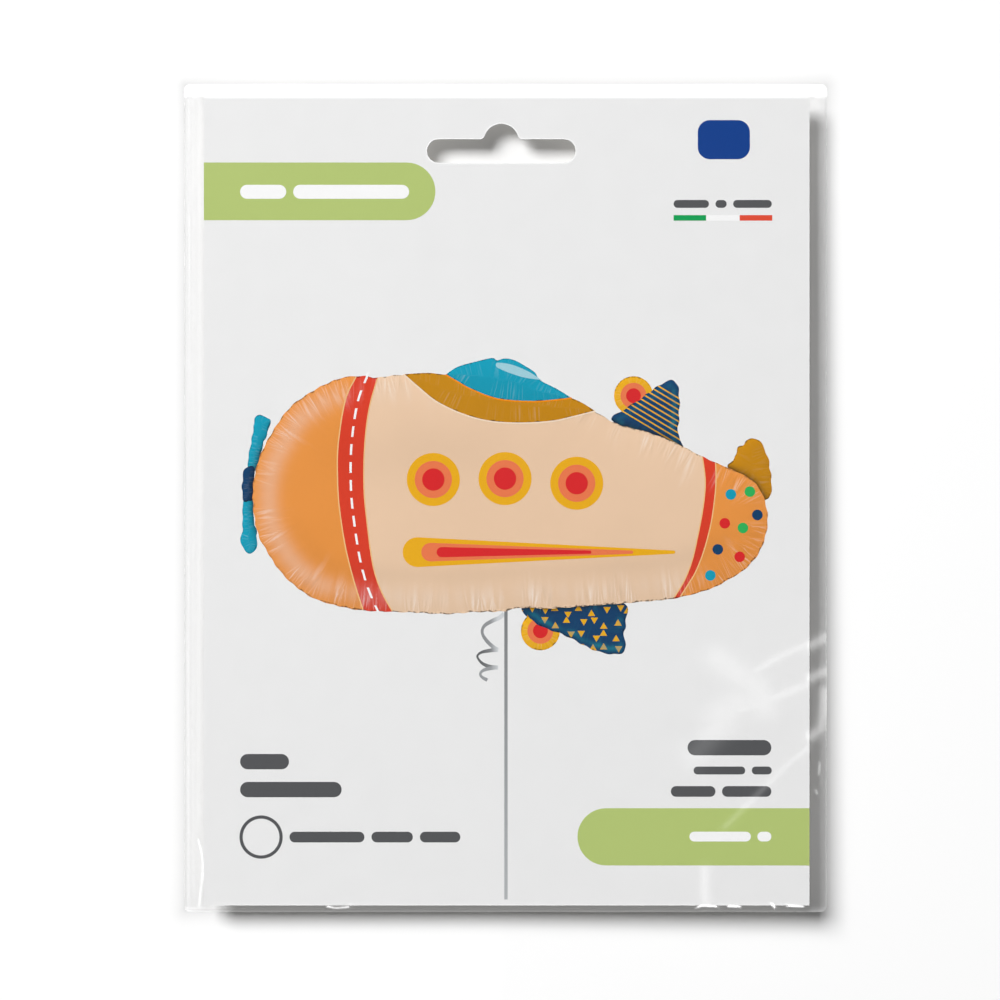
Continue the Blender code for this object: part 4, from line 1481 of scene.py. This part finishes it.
def add_stage():
    def wall_point(x, z):
        return (x, WALL_NEAR + WALL_TILT * max(WALL_BEND - z, 0.0) + WALL_TURN * max(x, 0.0), z)

    columns, rows = (-WALL_HALF, 0.0, WALL_HALF), (FLOOR_LEVEL, WALL_BEND, WALL_TOP)
    points = [wall_point(x, z) for z in rows for x in columns]
    quads = [(i, i + 1, i + 4, i + 3) for i in (0, 1, 3, 4)]
    hidden_from = ("diffuse", "glossy", "transmission", "shadow")
    add_stage_mesh("wall", points, quads, wall_material(), hidden_from)
    corners = [(x * FLOOR_HALF, y * FLOOR_HALF, FLOOR_LEVEL) for x, y in ((-1, -1), (1, -1), (1, 1), (-1, 1))]
    add_stage_mesh("floor", corners, [(0, 1, 2, 3)], floor_material(), ("diffuse", "glossy"))


def add_lights():
    for name, place, size, power in LIGHTS:
        light = bpy.data.lights.new(name, "AREA")
        light.shape = "RECTANGLE"
        light.size, light.size_y = size
        light.energy = power
        obj = bpy.data.objects.new(name, light)
        bpy.context.scene.collection.objects.link(obj)
        obj.location = place
        obj.rotation_euler = (Vector(LIGHT_TARGET) - Vector(place)).to_track_quat("-Z", "Y").to_euler()


def add_world():
    """Soft light from all around, brighter above, on a ground that the camera sees as white."""
    world = bpy.data.worlds.new("studio")
    tree = empty_tree(world)
    height = split(add_node(tree, "TexCoord", output="Generated"))[2]
    soft = add_node(tree, "Background", WHITE, height * 0.05 + 0.15)
    seen = add_node(tree, "Background", WHITE, 1.05)
    is_camera = add_node(tree, "LightPath", output="Is Camera Ray")
    bpy.context.scene.world = finished(world, add_node(tree, "MixShader", is_camera, soft, seen), "World")


def add_camera():
    camera = bpy.data.cameras.new("camera")
    camera.lens = LENS
    camera.sensor_width = SENSOR
    camera.clip_start = 0.01
    camera.clip_end = 20.0
    obj = bpy.data.objects.new("camera", camera)
    bpy.context.scene.collection.objects.link(obj)
    distance = PICTURE_WIDTH * LENS / SENSOR
    obj.location = (PICTURE_CENTRE[0], CARD_FRONT * MM - distance, PICTURE_CENTRE[1])
    obj.rotation_euler = (math.pi / 2, 0.0, 0.0)
    bpy.context.scene.camera = obj


def build():
    add_card()
    clear_film = film_material("bag_film")
    add_front_film(clear_film)
    add_back_film(clear_film)
    add_balloon()
    add_stage()
    add_lights()
    add_world()
    add_camera()
    bpy.context.scene.view_settings.view_transform = "Standard"


build()
